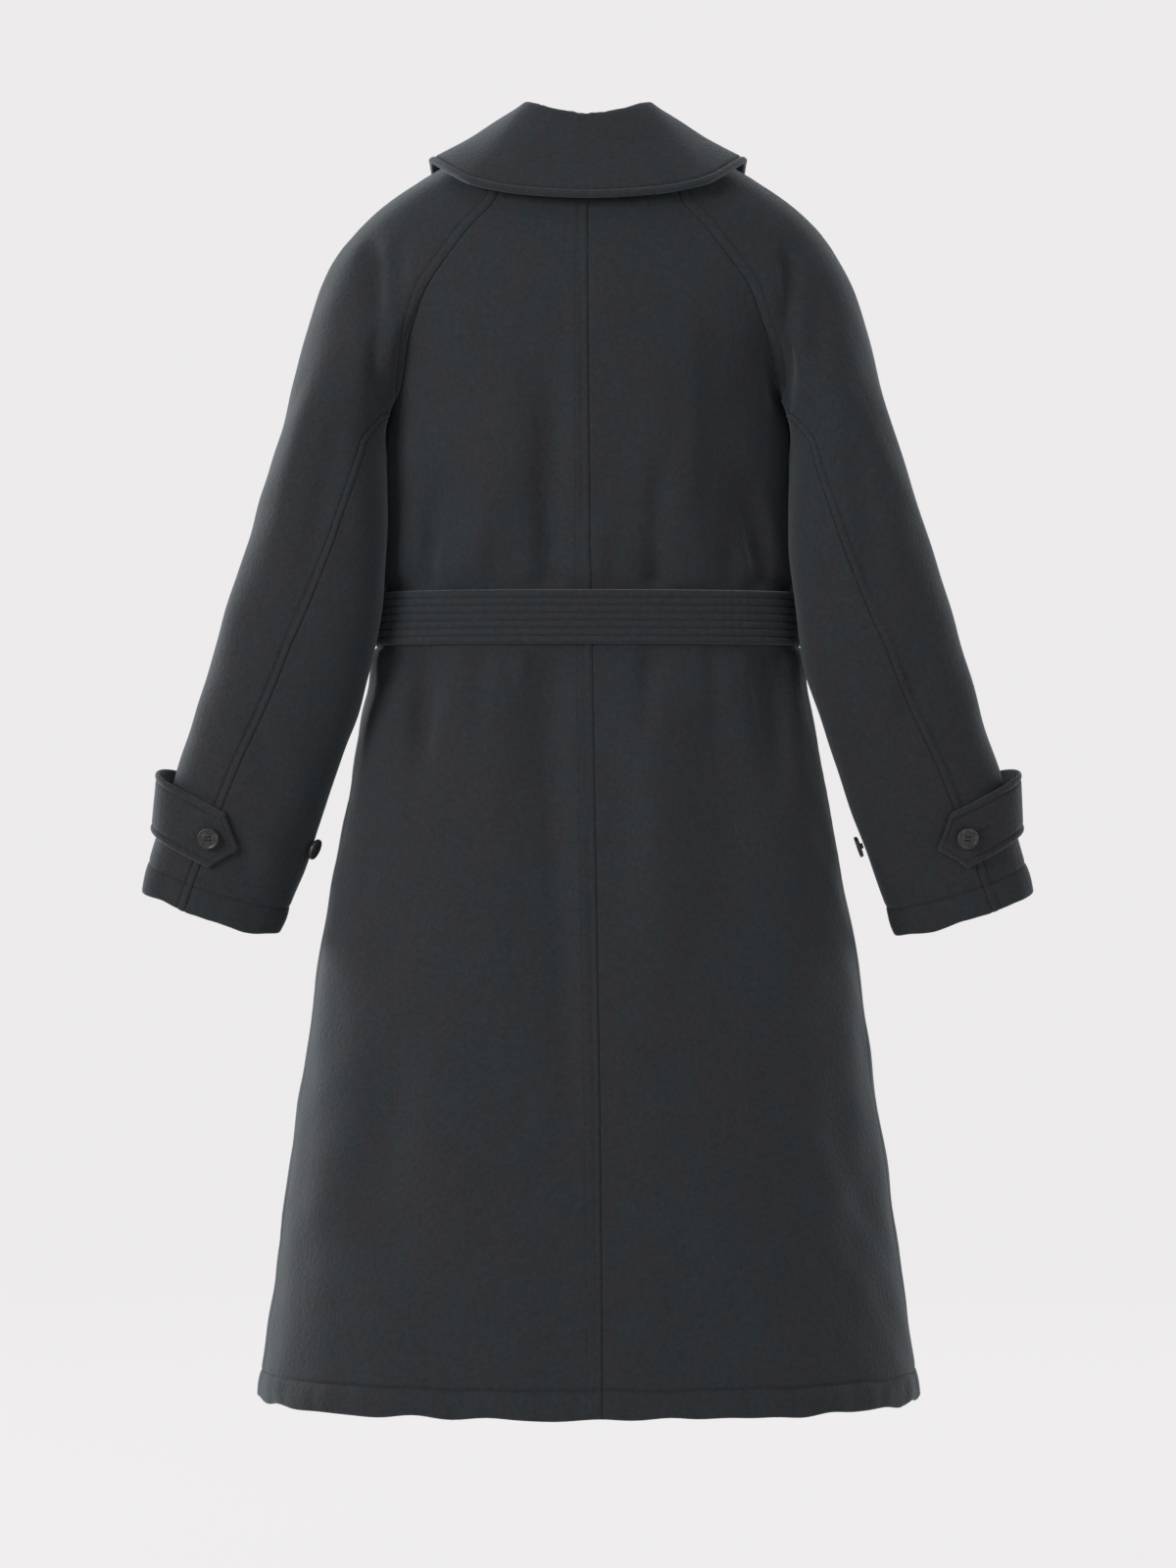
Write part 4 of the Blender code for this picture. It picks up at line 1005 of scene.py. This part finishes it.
def sleevePiece(side, back):
    # half of a raglan sleeve: rows set by distance from the armhole and the cuff, columns by distance from its seams
    base = 0.0 if back else 180.0
    rough = np.linspace(0, 1, 41)
    shares = np.linspace(0, 1, 161)
    sample = sleevePoint(base + 180 * rough[None, :] - twistAt(shares)[:, None], shares[:, None])
    down = runLength(sample, 0)
    width = runLength(sample, 1)[:, -1]
    near = np.stack([np.interp(seam["near"], down[:, c], shares) for c in range(len(rough))], -1)
    cuffShares = 1 - np.array(cuff["near"][::-1]) * sharePerMetre
    even = np.linspace(0, 1, raglanSleeve["rows"] + 1)[1:-1, None]
    between = near[-1:] + (cuffShares[0] - near[-1:]) * even
    rows = np.concatenate([near, between, np.repeat(cuffShares[:, None], len(rough), axis=1)])
    across = sharesOf(np.interp(rows.mean(1), shares, width), seam["near"], raglanSleeve["steps"])
    spot = across * (len(rough) - 1)
    left = np.clip(np.floor(spot).astype(int), 0, len(rough) - 2)
    row = np.arange(len(rows))[:, None]
    share = rows[row, left] + (spot - left) * (rows[row, left + 1] - rows[row, left])
    turn = base + 180 * across - twistAt(share)
    form, normal = sleeveForm(turn, share, side)
    top, foot, start, end = edgeDistances(form)
    mirror = np.array([side, 1, 1])
    closeBy = (1 - smooth(0, 0.014, top))[..., None]
    shared = armholeNormal(turn[0]) * mirror
    normal = unit(normal * (1 - closeBy) + shared[None] * closeBy)
    form = draped(form, normal)
    edgeWave = cuff["wave"] * cloudy(form, hem["waveLength"], 23)
    form[..., 2] += edgeWave * (1 - smooth(0, 0.04, foot))
    offNeck = smooth(12, 20, fromShoulder(turn[0]))[None, :]
    relief = ditch(start) + ditch(end) + offNeck * (ditch(top) + sunkRow(top, seam["raglanStitchAt"]))
    relief = relief + puckers(start, top, 15) + puckers(end, top, 16) + offNeck * puckers(top, start, 17)
    relief = relief + hemRelief(foot, start, cuff["stitchAt"], 35)
    relief = relief + sunkRow(end, seam["topstitchAt"])
    outer, inner = thicken(form, normal, raglanSleeve["wall"], relief, foot)
    openSeam(outer, inner, np.s_[0, :], np.s_[1, :], "over")
    openSeam(outer, inner, np.s_[:, 0], np.s_[:, 1], "under" if back else "over")
    openSeam(outer, inner, np.s_[:, -1], np.s_[:, -2], "under" if back else "over")
    name = ("sleeve_back_" if back else "sleeve_front_") + ("right" if side > 0 else "left")
    makeSheet(name, outer, inner, shellCloth, relief)
    cuffRow = len(rows) - 1 - cuff["near"].index(cuff["stitchAt"])
    sewAlong("coat", outer[cuffRow], normal[cuffRow])
    raglanRow = seam["near"].index(seam["raglanStitchAt"])
    sewn = fromShoulder(turn[0]) > 16
    sewAlong("coat", outer[raglanRow][sewn], normal[raglanRow][sewn])
    column = outer.shape[1] - 1 - seam["near"].index(seam["topstitchAt"])
    sewAlong("coat", outer[:, column], normal[:, column])


for half in (1, -1):
    sleevePiece(half, True)
    sleevePiece(half, False)
print("sleeves made")

turnedCollar = {
    "wall": 0.005,
    "gap": 0.001,
    "roll": 0.0085,
    "stations": 241,
    "stitchAt": 0.0075,
    "rows": 44,
    "pucker": 0.0007,
    "stepHalf": 0.004,
    # how far the stand laps over the front necklines, from the side to the front end
    "lap": (0.006, 0.016, 0.012, 0.003),
    # roll x, y, z and edge x, y, z of each station from the centre back to the front end
    "sections": (
        (0.000, -0.0765, 0.0280, 0.000, -0.1165, -0.0520),
        (0.033, -0.0700, 0.0340, 0.058, -0.1125, -0.0485),
        (0.057, -0.0470, 0.0425, 0.108, -0.0990, -0.0375),
        (0.065, -0.0040, 0.0370, 0.1480, -0.0180, -0.0075),
        (0.064, 0.0450, 0.0190, 0.146, 0.0560, -0.0270),
        (0.060, 0.0820, -0.0170, 0.136, 0.1100, -0.0930),
        (0.036, 0.1020, -0.0440, 0.100, 0.1440, -0.1420),
        (0.009, 0.1080, -0.0540, 0.062, 0.1590, -0.1720),
    ),
    "near": (0.0, 0.0004, 0.001, 0.0017, 0.0025, 0.0042, 0.0060, 0.0068, 0.0075, 0.0082, 0.0095, 0.012),
}


def collarPiece():
    # stand, roll and fall: a curve through six points at each station round the neck
    backAngles, backHeights = along(neckBackLine, np.array([0.0, 0.5, 1.0]))
    frontAngles, frontHeights = along(neckFrontLine, np.array([1.0, 0.72, 0.36, 0.06]))
    angles = np.concatenate([backAngles, [np.pi / 2], frontAngles])
    heights = np.concatenate([backHeights, [coatBody["neckSide"]], frontHeights - np.array(turnedCollar["lap"])])
    table = np.array(turnedCollar["sections"])
    stations = np.arange(len(table), dtype=float)
    both = np.concatenate([-stations[:0:-1], stations])
    at = np.linspace(both[0], both[-1], turnedCollar["stations"])

    def roundNeck(values, odd):
        sign = -1.0 if odd else 1.0
        return spline(both, np.concatenate([sign * values[:0:-1], values]), at)

    angle, height = roundNeck(angles, True), roundNeck(heights, False)
    normal = bodyNormal(angle, height)
    away = unit(np.stack([np.sin(angle), -np.cos(angle), np.zeros(len(at))], -1))
    face = np.abs((away * normal).sum(-1, keepdims=True))
    base = bodyPoint(angle, height)
    # over the left front the stand follows its sink, and steps out at the edge of the right front
    step = turnedCollar["stepHalf"]
    bare = 1 - smooth(-step, step, base[:, :1] + coatBody["overlap"])
    lift = turnedCollar["gap"] + face * turnedCollar["wall"] / 2 - frontSink(base[:, :1]) * bare
    base = base + normal * lift
    roll = np.stack([roundNeck(table[:, k], k == 0) for k in range(3)], -1)
    edge = np.stack([roundNeck(table[:, k + 3], k == 0) for k in range(3)], -1)
    outward = unit((edge - roll) * np.array([1.0, 1.0, 0.0]))
    up = np.array([0.0, 0.0, 1.0])
    stand = base + 0.5 * (roll - base) - outward * turnedCollar["roll"] * 0.6
    start = roll + 0.16 * (edge - roll) + outward * turnedCollar["roll"] * 0.12 + up * turnedCollar["roll"] * 0.20
    middle = 0.45 * roll + 0.55 * edge
    keys = np.stack([base, stand, roll, start, middle, edge], axis=1)
    length = runLength(keys, 1)
    form = []
    for k in range(len(at)):
        fromEdge = np.array(turnedCollar["near"][::-1])
        even = np.linspace(0, length[k, -1] - fromEdge[0], turnedCollar["rows"] + 1)
        place = np.concatenate([even, length[k, -1] - fromEdge[1:]])
        form.append(np.stack([spline(length[k], keys[k, :, c], place) for c in range(3)], -1))
    form = np.array(form)
    face = unit(np.cross(np.gradient(form, axis=0), np.gradient(form, axis=1)))
    fromStart, fromEnd, fromBase, fromEdge = edgeDistances(form)
    face = face * np.sign((face[len(at) // 2, -1] * np.array([0, -1.0, 0])).sum())
    relief = sunkRow(fromEdge, turnedCollar["stitchAt"]) + puckers(fromEdge, fromStart, 41)
    aroundTop = bell(fromBase, length[:, 2:3], 0.016) * bell(form[..., 0], 0.0, 0.024)
    relief = relief + turnedCollar["pucker"] * uneven(fromStart, 0.013, 43) * aroundTop
    nearest = np.minimum(fromEdge, np.minimum(fromStart, fromEnd))
    outer, inner = thicken(form + face * (turnedCollar["wall"] / 2), face, turnedCollar["wall"], relief, nearest)
    makeSheet("collar", outer, inner, shellCloth, relief)
    column = form.shape[1] - 1 - turnedCollar["near"].index(turnedCollar["stitchAt"])
    sewAlong("coat", outer[4:-4, column], face[4:-4, column])


collarPiece()
print("collar made")


def channelProfile(count):
    # rounded channels between stitch rows, from 0 in a row to 1 between two
    share = np.linspace(0, 1, beltBand["channels"] * count + 1)
    return share, np.abs(np.sin(np.pi * beltBand["channels"] * share)) ** 0.65


def beltPiece():
    # a band with a channelled face carried round the waist
    angle = np.linspace(0, 2 * np.pi, beltBand["stations"], endpoint=False)
    angle = np.where(angle > np.pi, angle - 2 * np.pi, angle)
    share, channel = channelProfile(beltBand["perChannel"])
    level = beltBand["height"] + (share - 0.5) * beltBand["width"]
    edge = np.minimum(share, 1 - share) * beltBand["width"]
    rise = (beltBand["thickness"] * roundOff(edge, 0.0018) + beltBand["channelRise"] * channel)[None, :]
    across = bodyPoint(angle, np.full(angle.shape, beltBand["height"]))
    puckered = 0.00022 + 0.00045 * bell(across[:, 0], 0.068, 0.050) * (across[:, 1] < 0)
    wrinkle = (puckered * uneven(angle * 0.2, 0.009, 51))[:, None] * channel[None, :]
    backHeights = level[::-8]
    heights = np.concatenate([level, backHeights])
    outs = np.concatenate([rise + wrinkle, np.zeros((len(angle), len(backHeights)))], axis=1) + beltBand["restGap"]
    heights = np.broadcast_to(heights[None, :], outs.shape)
    angles = np.broadcast_to(angle[:, None], outs.shape)
    points = bodyPoint(angles, heights)
    normals = bodyNormal(angles, heights)
    rings = points + normals * outs[..., None]
    places, quads = closedRings(rings, True)
    # painted shade in the sunk stitch rows between the belt's channels, none on the channels' crowns
    low = np.concatenate([1 - channel, np.zeros(len(backHeights))])
    paintedShade = np.broadcast_to(low**3, outs.shape).ravel()
    piece = makePiece("belt_band", places, quads, beltCloth, ("belt",), paintedShade)
    for row in range(beltBand["channels"] + 1):
        k = min(max(row * beltBand["perChannel"], 1), len(level) - 2)
        sewAlong("belt", np.append(rings[:, k], rings[:1, k], axis=0), np.append(normals[:, k], normals[:1, k], axis=0))


beltPiece()
print("belt made")

beltKnot = {
    "across": -0.012,
    "size": (0.024, 0.0125, 0.031),
    "lengths": (0.34, 0.30),
    "neck": 0.0125,
    "spread": 0.040,
    "clear": 0.0015,
    "reach": math.radians(80.0),
    "lobe": 0.06,
    "roundness": 0.55,
    "slant": 0.35,
    "channel": 0.0068,
    "groove": 0.13,
    "grooveHalf": 0.16,
}


def frontFace(across, height):
    # place on the front of the body at a distance from the middle
    angle = np.sign(across) * angleAt(np.abs(across), height, True)
    return bodyPoint(np.where(across == 0, np.pi, angle), height)


def knotPiece():
    # a lump whose section is a circle with three soft lobes, grooved along the slanting channels of the belt round it
    seat = frontFace(np.array(beltKnot["across"]), np.array(beltBand["height"]))[1]
    rest = 2 * beltBand["restGap"] + beltBand["thickness"] + beltBand["channelRise"]
    size = beltKnot["size"]
    centre = np.array([beltKnot["across"], seat + rest + size[1], beltBand["height"]])
    tilt = np.linspace(-1, 1, 49)[:, None] * beltKnot["reach"]
    turn = np.linspace(0, 2 * np.pi, 96, endpoint=False)[None, :]
    lobes = 1 - beltKnot["lobe"] * np.cos(3 * turn)
    radius = np.cos(tilt) ** beltKnot["roundness"]
    x = size[0] * radius * np.cos(turn) * lobes
    z = size[2] * np.sin(tilt) / math.sin(beltKnot["reach"]) + 0 * turn
    channel = (x + beltKnot["slant"] * z) / beltKnot["channel"]
    groove = bell(channel - np.round(channel), 0.0, beltKnot["grooveHalf"])
    y = size[1] * radius * np.sin(turn) * (1 - beltKnot["groove"] * groove)
    rings = centre + np.stack([x, y, z], -1)
    places, quads = closedRings(rings, False)
    paintedShade = np.zeros(len(places))
    piece = makePiece("belt_knot_cloth", places, quads, beltCloth, ("belt_knot",), paintedShade)
    return centre


def beltTail(side, centre):
    # a free end of the belt hanging from the knot on to the skirt's front
    name = "belt_tail_right" if side > 0 else "belt_tail_left"
    length = beltKnot["lengths"][0] if side > 0 else beltKnot["lengths"][1]
    near = np.array((0.0, 0.0004, 0.001, 0.0018, 0.003)) / length
    row = np.concatenate([near, np.linspace(0.012, 0.988, 120), 1 - near[::-1]])[:, None]
    share, channel = channelProfile(beltBand["perChannel"])
    column = (2 * share - 1)[None, :]
    top = beltBand["height"] - beltKnot["size"][2] - beltBand["restGap"]
    half = beltKnot["neck"] + (beltBand["width"] / 2 - beltKnot["neck"]) * smooth(0, 0.35, row)
    middle = beltKnot["across"] + side * (beltKnot["neck"] + 0.001 + beltKnot["spread"] * row)
    across = middle + half * column
    height = top - length * row + 0 * column
    skirt = frontFace(across, height)
    hang = (centre[1] - 0.004 - skirt[..., 1]) * (1 - smooth(0, 0.40, row))
    lift = np.maximum(hang, 0) + beltKnot["clear"] + coatBody["reliefRoom"]
    forward = np.broadcast_to(np.array([0, 1.0, 0]), skirt.shape)
    form = skirt + forward * (lift + beltBand["thickness"])[..., None]
    first, last, start, end = edgeDistances(form)
    edge = np.minimum(np.minimum(first, last), np.minimum(start, end))
    relief = np.broadcast_to(0.5 * beltBand["channelRise"] * (channel - 1)[None, :], edge.shape).copy()
    outer, inner = thicken(form, forward, beltBand["thickness"], relief, edge)
    makeSheet(name, outer, inner, beltCloth, relief)
    for k in range(beltBand["channels"] + 1):
        c = min(max(k * beltBand["perChannel"], 1), len(share) - 2)
        sewAlong("belt", outer[6:-6, c], forward[6:-6, c])


knotCentre = knotPiece()
for half in (1, -1):
    beltTail(half, knotCentre)
print("belt ends made")

cuffTab = {
    "thickness": 0.004,
    "width": 0.055,
    "standOff": 0.013,
    "fromCuff": 0.077,
    "rise": 0.008,
    "start": -100.0,
    "corner": 78.0,
    "tip": 93.0,
    "buttonTurn": 73.0,
    "holeEnds": {1: 53.0, -1: 66.0},
    "holeHalf": 0.0009,
    "stitchAt": 0.007,
    "near": (0.0, 0.0003, 0.0008, 0.0014, 0.0021, 0.0038, 0.0055, 0.0063, 0.007, 0.0077, 0.009, 0.011),
    "restGap": 0.0005,
    "seat": 0.0007,
}


def tabPiece(side):
    # a strap from the front of the cuff round its outer edge to a point on the back, bowed off at its top
    straight = np.linspace(cuffTab["start"], cuffTab["corner"], 150)
    straight = np.concatenate([cuffTab["start"] + np.array([0, 0.3, 0.8, 1.4, 2.0]), straight[2:]])
    point = np.linspace(cuffTab["corner"], cuffTab["tip"], 26)[1:]
    turn = np.append(straight, point)
    taper = np.clip((turn - cuffTab["corner"]) / (cuffTab["tip"] - cuffTab["corner"]), 0, 1)
    half = cuffTab["width"] / 2 * (1 - 0.94 * taper)
    across = 2 * sharesOf(2 * half, cuffTab["near"], 14) - 1
    middle = 1 - (cuffTab["fromCuff"] + cuffTab["rise"] * np.cos(np.radians(turn))[:, None]) * sharePerMetre
    share = middle + half[:, None] * across * sharePerMetre
    turns = np.broadcast_to(turn[:, None], share.shape)
    place, normal = sleeveForm(turns, share, side)
    place = draped(place, normal)
    bow = smooth(cuffTab["start"], -45, turns) * (1 - smooth(0, 55, turns))
    off = cuffTab["restGap"] + cuffTab["seat"] + cuffTab["standOff"] * bow * (0.55 - 0.45 * across)
    form = place + normal * (off + cuffTab["thickness"])[..., None]
    first, last, start, end = edgeDistances(form)
    edge = np.minimum(np.minimum(first, last), np.minimum(start, end))
    fromSides = np.minimum(start, end)
    relief = sunkRow(fromSides, cuffTab["stitchAt"]) * (1 - 0.8 * taper[:, None])
    outer, inner = thicken(form, normal, cuffTab["thickness"], relief, edge)
    name = "cuff_tab_right" if side > 0 else "cuff_tab_left"
    makeSheet(name, outer, inner, shellCloth, relief)
    column = cuffTab["near"].index(cuffTab["stitchAt"])
    for c in (column, outer.shape[1] - 1 - column):
        sewAlong("coat", outer[:-8, c], normal[:-8, c])


for half in (1, -1):
    tabPiece(half)
print("cuff tabs made")

hornButton = {
    "radius": 0.0102,
    "thickness": 0.004,
    "shank": 0.002,
    "holeOffset": 0.0017,
    "holeRadius": 0.00085,
    "holeDepth": 0.0022,
    "fromCuffEdge": 0.092,
    "seat": 0.001,
    "threadLift": 0.0001,
    "cuffTurns": {1: 178.0, -1: 165.0},
    # share of the radius, share of the height
    "profile": (
        (0.26, 0.0),
        (0.26, 0.35),
        (0.80, 0.38),
        (0.98, 0.55),
        (1.00, 0.75),
        (0.94, 0.98),
        (0.84, 1.00),
        (0.72, 0.90),
        (0.25, 0.86),
        (0.02, 0.86),
    ),
}


def buttonPiece(name, seat, normal):
    # a turned profile with a raised rim and four pits in its face
    profile = np.array(hornButton["profile"])
    length = runLength(profile, 0)
    place = np.linspace(0, length[-1], 90)
    radius = spline(length, profile[:, 0], place) * hornButton["radius"]
    rise = spline(length, profile[:, 1], place) * (hornButton["shank"] + hornButton["thickness"])
    turn = np.linspace(0, 2 * np.pi, 72, endpoint=False)
    first = unit(np.cross(normal, np.array([0.0, 0.0, 1.0])))
    second = np.cross(normal, first)
    x = radius[:, None] * np.cos(turn)[None, :]
    y = radius[:, None] * np.sin(turn)[None, :]
    pitAway = np.hypot(np.abs(x) - hornButton["holeOffset"], np.abs(y) - hornButton["holeOffset"])
    face = (np.arange(len(place)) > np.searchsorted(place, length[6]))[:, None]
    pit = hornButton["holeDepth"] * (1 - smooth(0.7, 1.1, pitAway / hornButton["holeRadius"])) * face
    rings = seat + x[..., None] * first + y[..., None] * second + (rise[:, None] - pit)[..., None] * normal
    places, quads = closedRings(rings, False)
    makePiece(name + "_horn", places, quads, horn, (name,))
    reach = hornButton["holeOffset"]
    top = rise[-1] + hornButton["threadLift"]
    for way in (-1, 1):
        ends = [seat + first * (k * reach) + second * (way * reach) + normal * top for k in np.linspace(-1.1, 1.1, 3)]
        buttonThreads.append((np.array(ends), np.broadcast_to(normal, (3, 3))))


def buttonhole(side):
    # two edges of close stitches along the strap, from under the button towards the outer edge of the cuff
    turns = np.linspace(cuffTab["buttonTurn"], cuffTab["holeEnds"][side], 24)
    shares = 1 - (cuffTab["fromCuff"] + cuffTab["rise"] * np.cos(np.radians(turns))) * sharePerMetre
    spots, facings = sleeveForm(turns, shares, side)
    spots = draped(spots, facings) + facings * (cuffTab["restGap"] + cuffTab["seat"] + cuffTab["thickness"])
    across = unit(np.cross(np.gradient(spots, axis=0), facings))
    for way in (-1, 1):
        holeThreads.append((spots + across * way * cuffTab["holeHalf"], facings))


buttonThreads = []
holeThreads = []
for half in (1, -1):
    tail = "right" if half > 0 else "left"
    buttonhole(half)
    tabShare = 1 - (
        cuffTab["fromCuff"] + cuffTab["rise"] * math.cos(math.radians(cuffTab["buttonTurn"]))
    ) * sharePerMetre
    spot, facing = sleeveForm(np.array(cuffTab["buttonTurn"]), np.array(tabShare), half)
    spot = draped(spot[None], facing[None])[0]
    lift = cuffTab["restGap"] + cuffTab["seat"] + cuffTab["thickness"] + seam["gap"]
    buttonPiece("tab_button_" + tail, spot + facing * lift, facing)
    cuffShare = np.array(1 - hornButton["fromCuffEdge"] * sharePerMetre)
    spot, facing = sleeveForm(np.array(hornButton["cuffTurns"][half]), cuffShare, half)
    spot = draped(spot[None], facing[None])[0]
    buttonPiece("cuff_button_" + tail, spot + facing * hornButton["seat"], facing)
print("buttons made")


def spacedOut(points, normals, pitch):
    # middles, directions and facings at even steps along a line of points
    length = runLength(points, 0)
    at = np.arange(pitch / 2, length[-1], pitch)
    middle = np.stack([np.interp(at, length, points[:, k]) for k in range(3)], -1)
    ahead = np.stack([np.interp(at + pitch * 0.35, length, points[:, k]) for k in range(3)], -1)
    behind = np.stack([np.interp(at - pitch * 0.35, length, points[:, k]) for k in range(3)], -1)
    facing = unit(np.stack([np.interp(at, length, normals[:, k]) for k in range(3)], -1))
    return middle, unit(ahead - behind), facing


def stitchPiece(name, lines, slot, pitch, length, radius, lift):
    # grains of thread: two tips and two square rings, turned along each line and joined into one mesh
    parts = [spacedOut(points, normals, pitch) for points, normals in lines]
    middle, way, facing = (np.concatenate([part[k] for part in parts]) for k in range(3))
    across = unit(np.cross(way, facing))
    facing = np.cross(across, way)
    ring = np.array([[1.0, 0.0], [0.0, 1.0], [-1.0, 0.0], [0.0, -1.0]])
    grain = [(-0.5, 0.0, -0.6)]
    grain += [(-0.30, a, b) for a, b in ring]
    grain += [(0.30, a, b) for a, b in ring]
    grain += [(0.5, 0.0, -0.6)]
    grain = np.array(grain) * np.array([length, radius, radius])
    places = (
        middle[:, None, :]
        + grain[None, :, :1] * way[:, None, :]
        + grain[None, :, 1:2] * across[:, None, :]
        + (grain[None, :, 2:] + lift) * facing[:, None, :]
    )
    one = [(0, 1 + k, 1 + (k + 1) % 4) for k in range(4)]
    one += [(1 + k, 5 + k, 5 + (k + 1) % 4) for k in range(4)]
    one += [(1 + k, 5 + (k + 1) % 4, 1 + (k + 1) % 4) for k in range(4)]
    one += [(9, 5 + (k + 1) % 4, 5 + k) for k in range(4)]
    faces = (np.array(one)[None] + 10 * np.arange(len(middle))[:, None, None]).reshape(-1, 3)
    mesh = bpy.data.meshes.new(name)
    mesh.from_pydata(places.reshape(-1, 3).tolist(), [], faces.tolist())
    mesh.shade_smooth()
    mesh.materials.append(thread)
    piece = bpy.data.objects.new(name, mesh)
    bpy.context.scene.collection.objects.link(piece)
    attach(piece, "root")
    print(name, len(middle), "stitches")
    return piece


stitchPiece("coatStitches", stitchRows["coat"], "shell_cloth", **stitch)
stitchPiece("beltStitches", stitchRows["belt"], "belt_cloth", **stitch)
stitchPiece("buttonThreads", buttonThreads, "button", **buttonStitch)
stitchPiece("buttonholeThreads", holeThreads, "shell_cloth", **holeStitch)

studio = {
    "floor": -1.46,
    "flatRadius": 8.0,
    "bowlRadius": 11.5,
    "bowlHeight": 5.0,
    "levelRings": 40,
    "climbRings": 60,
    "columns": 129,
    "paper": (0.030, 0.0294, 0.0297),
    "glow": (0.832, 0.817, 0.824),
    # the paper glows evenly as the backdrop; nearGlow is painted shade, its glow dimmed on the camera's side
    "nearGlow": 0.56,
    "nearEdge": (-1.2, 0.5),
    "sky": 0.12,
    # name, place, size, watts
    "lights": (
        ("keyLeft", (-2.7, -2.5, 0.6), 1.6, 100.0),
        ("fillRight", (2.6, -2.8, 0.1), 2.2, 30.0),
        ("rimLeft", (-2.5, 1.5, 0.1), 1.2, 80.0),
        ("top", (-0.3, -0.9, 2.3), 1.6, 14.0),
        ("rimRight", (2.6, 1.6, 0.1), 1.2, 30.0),
        ("frontFill", (0.6, 3.2, 0.5), 2.5, 25.0),
    ),
}


def studioBowl():
    # level floor that curves up all round: radius and height along a profile, turned about the upright
    climb = np.linspace(0, np.pi / 2, studio["climbRings"])
    level = np.linspace(0.0, studio["flatRadius"], studio["levelRings"])[:-1]
    widen = studio["bowlRadius"] - studio["flatRadius"]
    radius = np.concatenate([level, studio["flatRadius"] + widen * np.sin(climb)])[:, None]
    height = np.concatenate([0 * level, studio["bowlHeight"] * (1 - np.cos(climb))]) + studio["floor"]
    turn = np.linspace(0, 2 * np.pi, studio["columns"])[None, :]
    points = np.stack([radius * np.cos(turn), radius * np.sin(turn), height[:, None] + 0 * turn], -1)
    mesh = bpy.data.meshes.new("studioFloor")
    index = np.arange(points[..., 0].size).reshape(points.shape[:2])
    mesh.from_pydata(points.reshape(-1, 3).tolist(), [], gridQuads(index).tolist())
    mesh.shade_smooth()
    made, tree, shader = newMaterial("palePaper")
    place = addNode(tree, "ShaderNodeTexCoord").outputs["Object"]
    tooth = addNode(tree, "ShaderNodeTexNoise", {"Vector": place, "Scale": 60.0, "Detail": 2.0})
    low = tuple(c * 0.97 for c in studio["paper"])
    colour = tones(tree, tooth.outputs["Fac"], ((0.3, low), (0.7, studio["paper"])))
    tree.links.new(colour, shader.inputs["Base Color"])
    # painted shade on the glowing paper: its emission falls to nearGlow towards the camera's side, taking fill light
    # off the coat's back
    depth = addNode(tree, "ShaderNodeSeparateXYZ", {"Vector": place}).outputs["Y"]
    fade = addNode(
        tree,
        "ShaderNodeMapRange",
        {
            "Value": depth,
            "From Min": studio["nearEdge"][0],
            "From Max": studio["nearEdge"][1],
            "To Min": studio["nearGlow"],
            "To Max": 1.0,
        },
        interpolation_type="SMOOTHSTEP",
    )
    shader.inputs["Emission Color"].default_value = (*studio["glow"], 1.0)
    tree.links.new(fade.outputs["Result"], shader.inputs["Emission Strength"])
    shader.inputs["Roughness"].default_value = 1.0
    shader.inputs["Specular IOR Level"].default_value = 0.0
    mesh.materials.append(made)
    floor = bpy.data.objects.new("studioFloor", mesh)
    bpy.context.scene.collection.objects.link(floor)


def studioLight(name, place, size, watts):
    # a soft square lamp turned towards the middle of the coat
    light = bpy.data.lights.new(name, "AREA")
    light.size = size
    light.energy = watts
    lamp = bpy.data.objects.new(name, light)
    toward = np.array([0.0, 0.0, shot["height"]]) - np.array(place)
    flat = math.hypot(toward[0], toward[1])
    lamp.location = place
    lamp.rotation_euler = (math.atan2(flat, -toward[2]), 0.0, math.atan2(toward[1], toward[0]) - math.pi / 2)
    bpy.context.scene.collection.objects.link(lamp)


studioBowl()
for row in studio["lights"]:
    studioLight(*row)
world = bpy.data.worlds.new("paleSky")
world.use_nodes = True
world.node_tree.nodes["Background"].inputs["Color"].default_value = (0.94, 0.94, 0.95, 1.0)
world.node_tree.nodes["Background"].inputs["Strength"].default_value = studio["sky"]
bpy.context.scene.world = world
bpy.context.scene.view_settings.view_transform = "Standard"
print("studio lit")
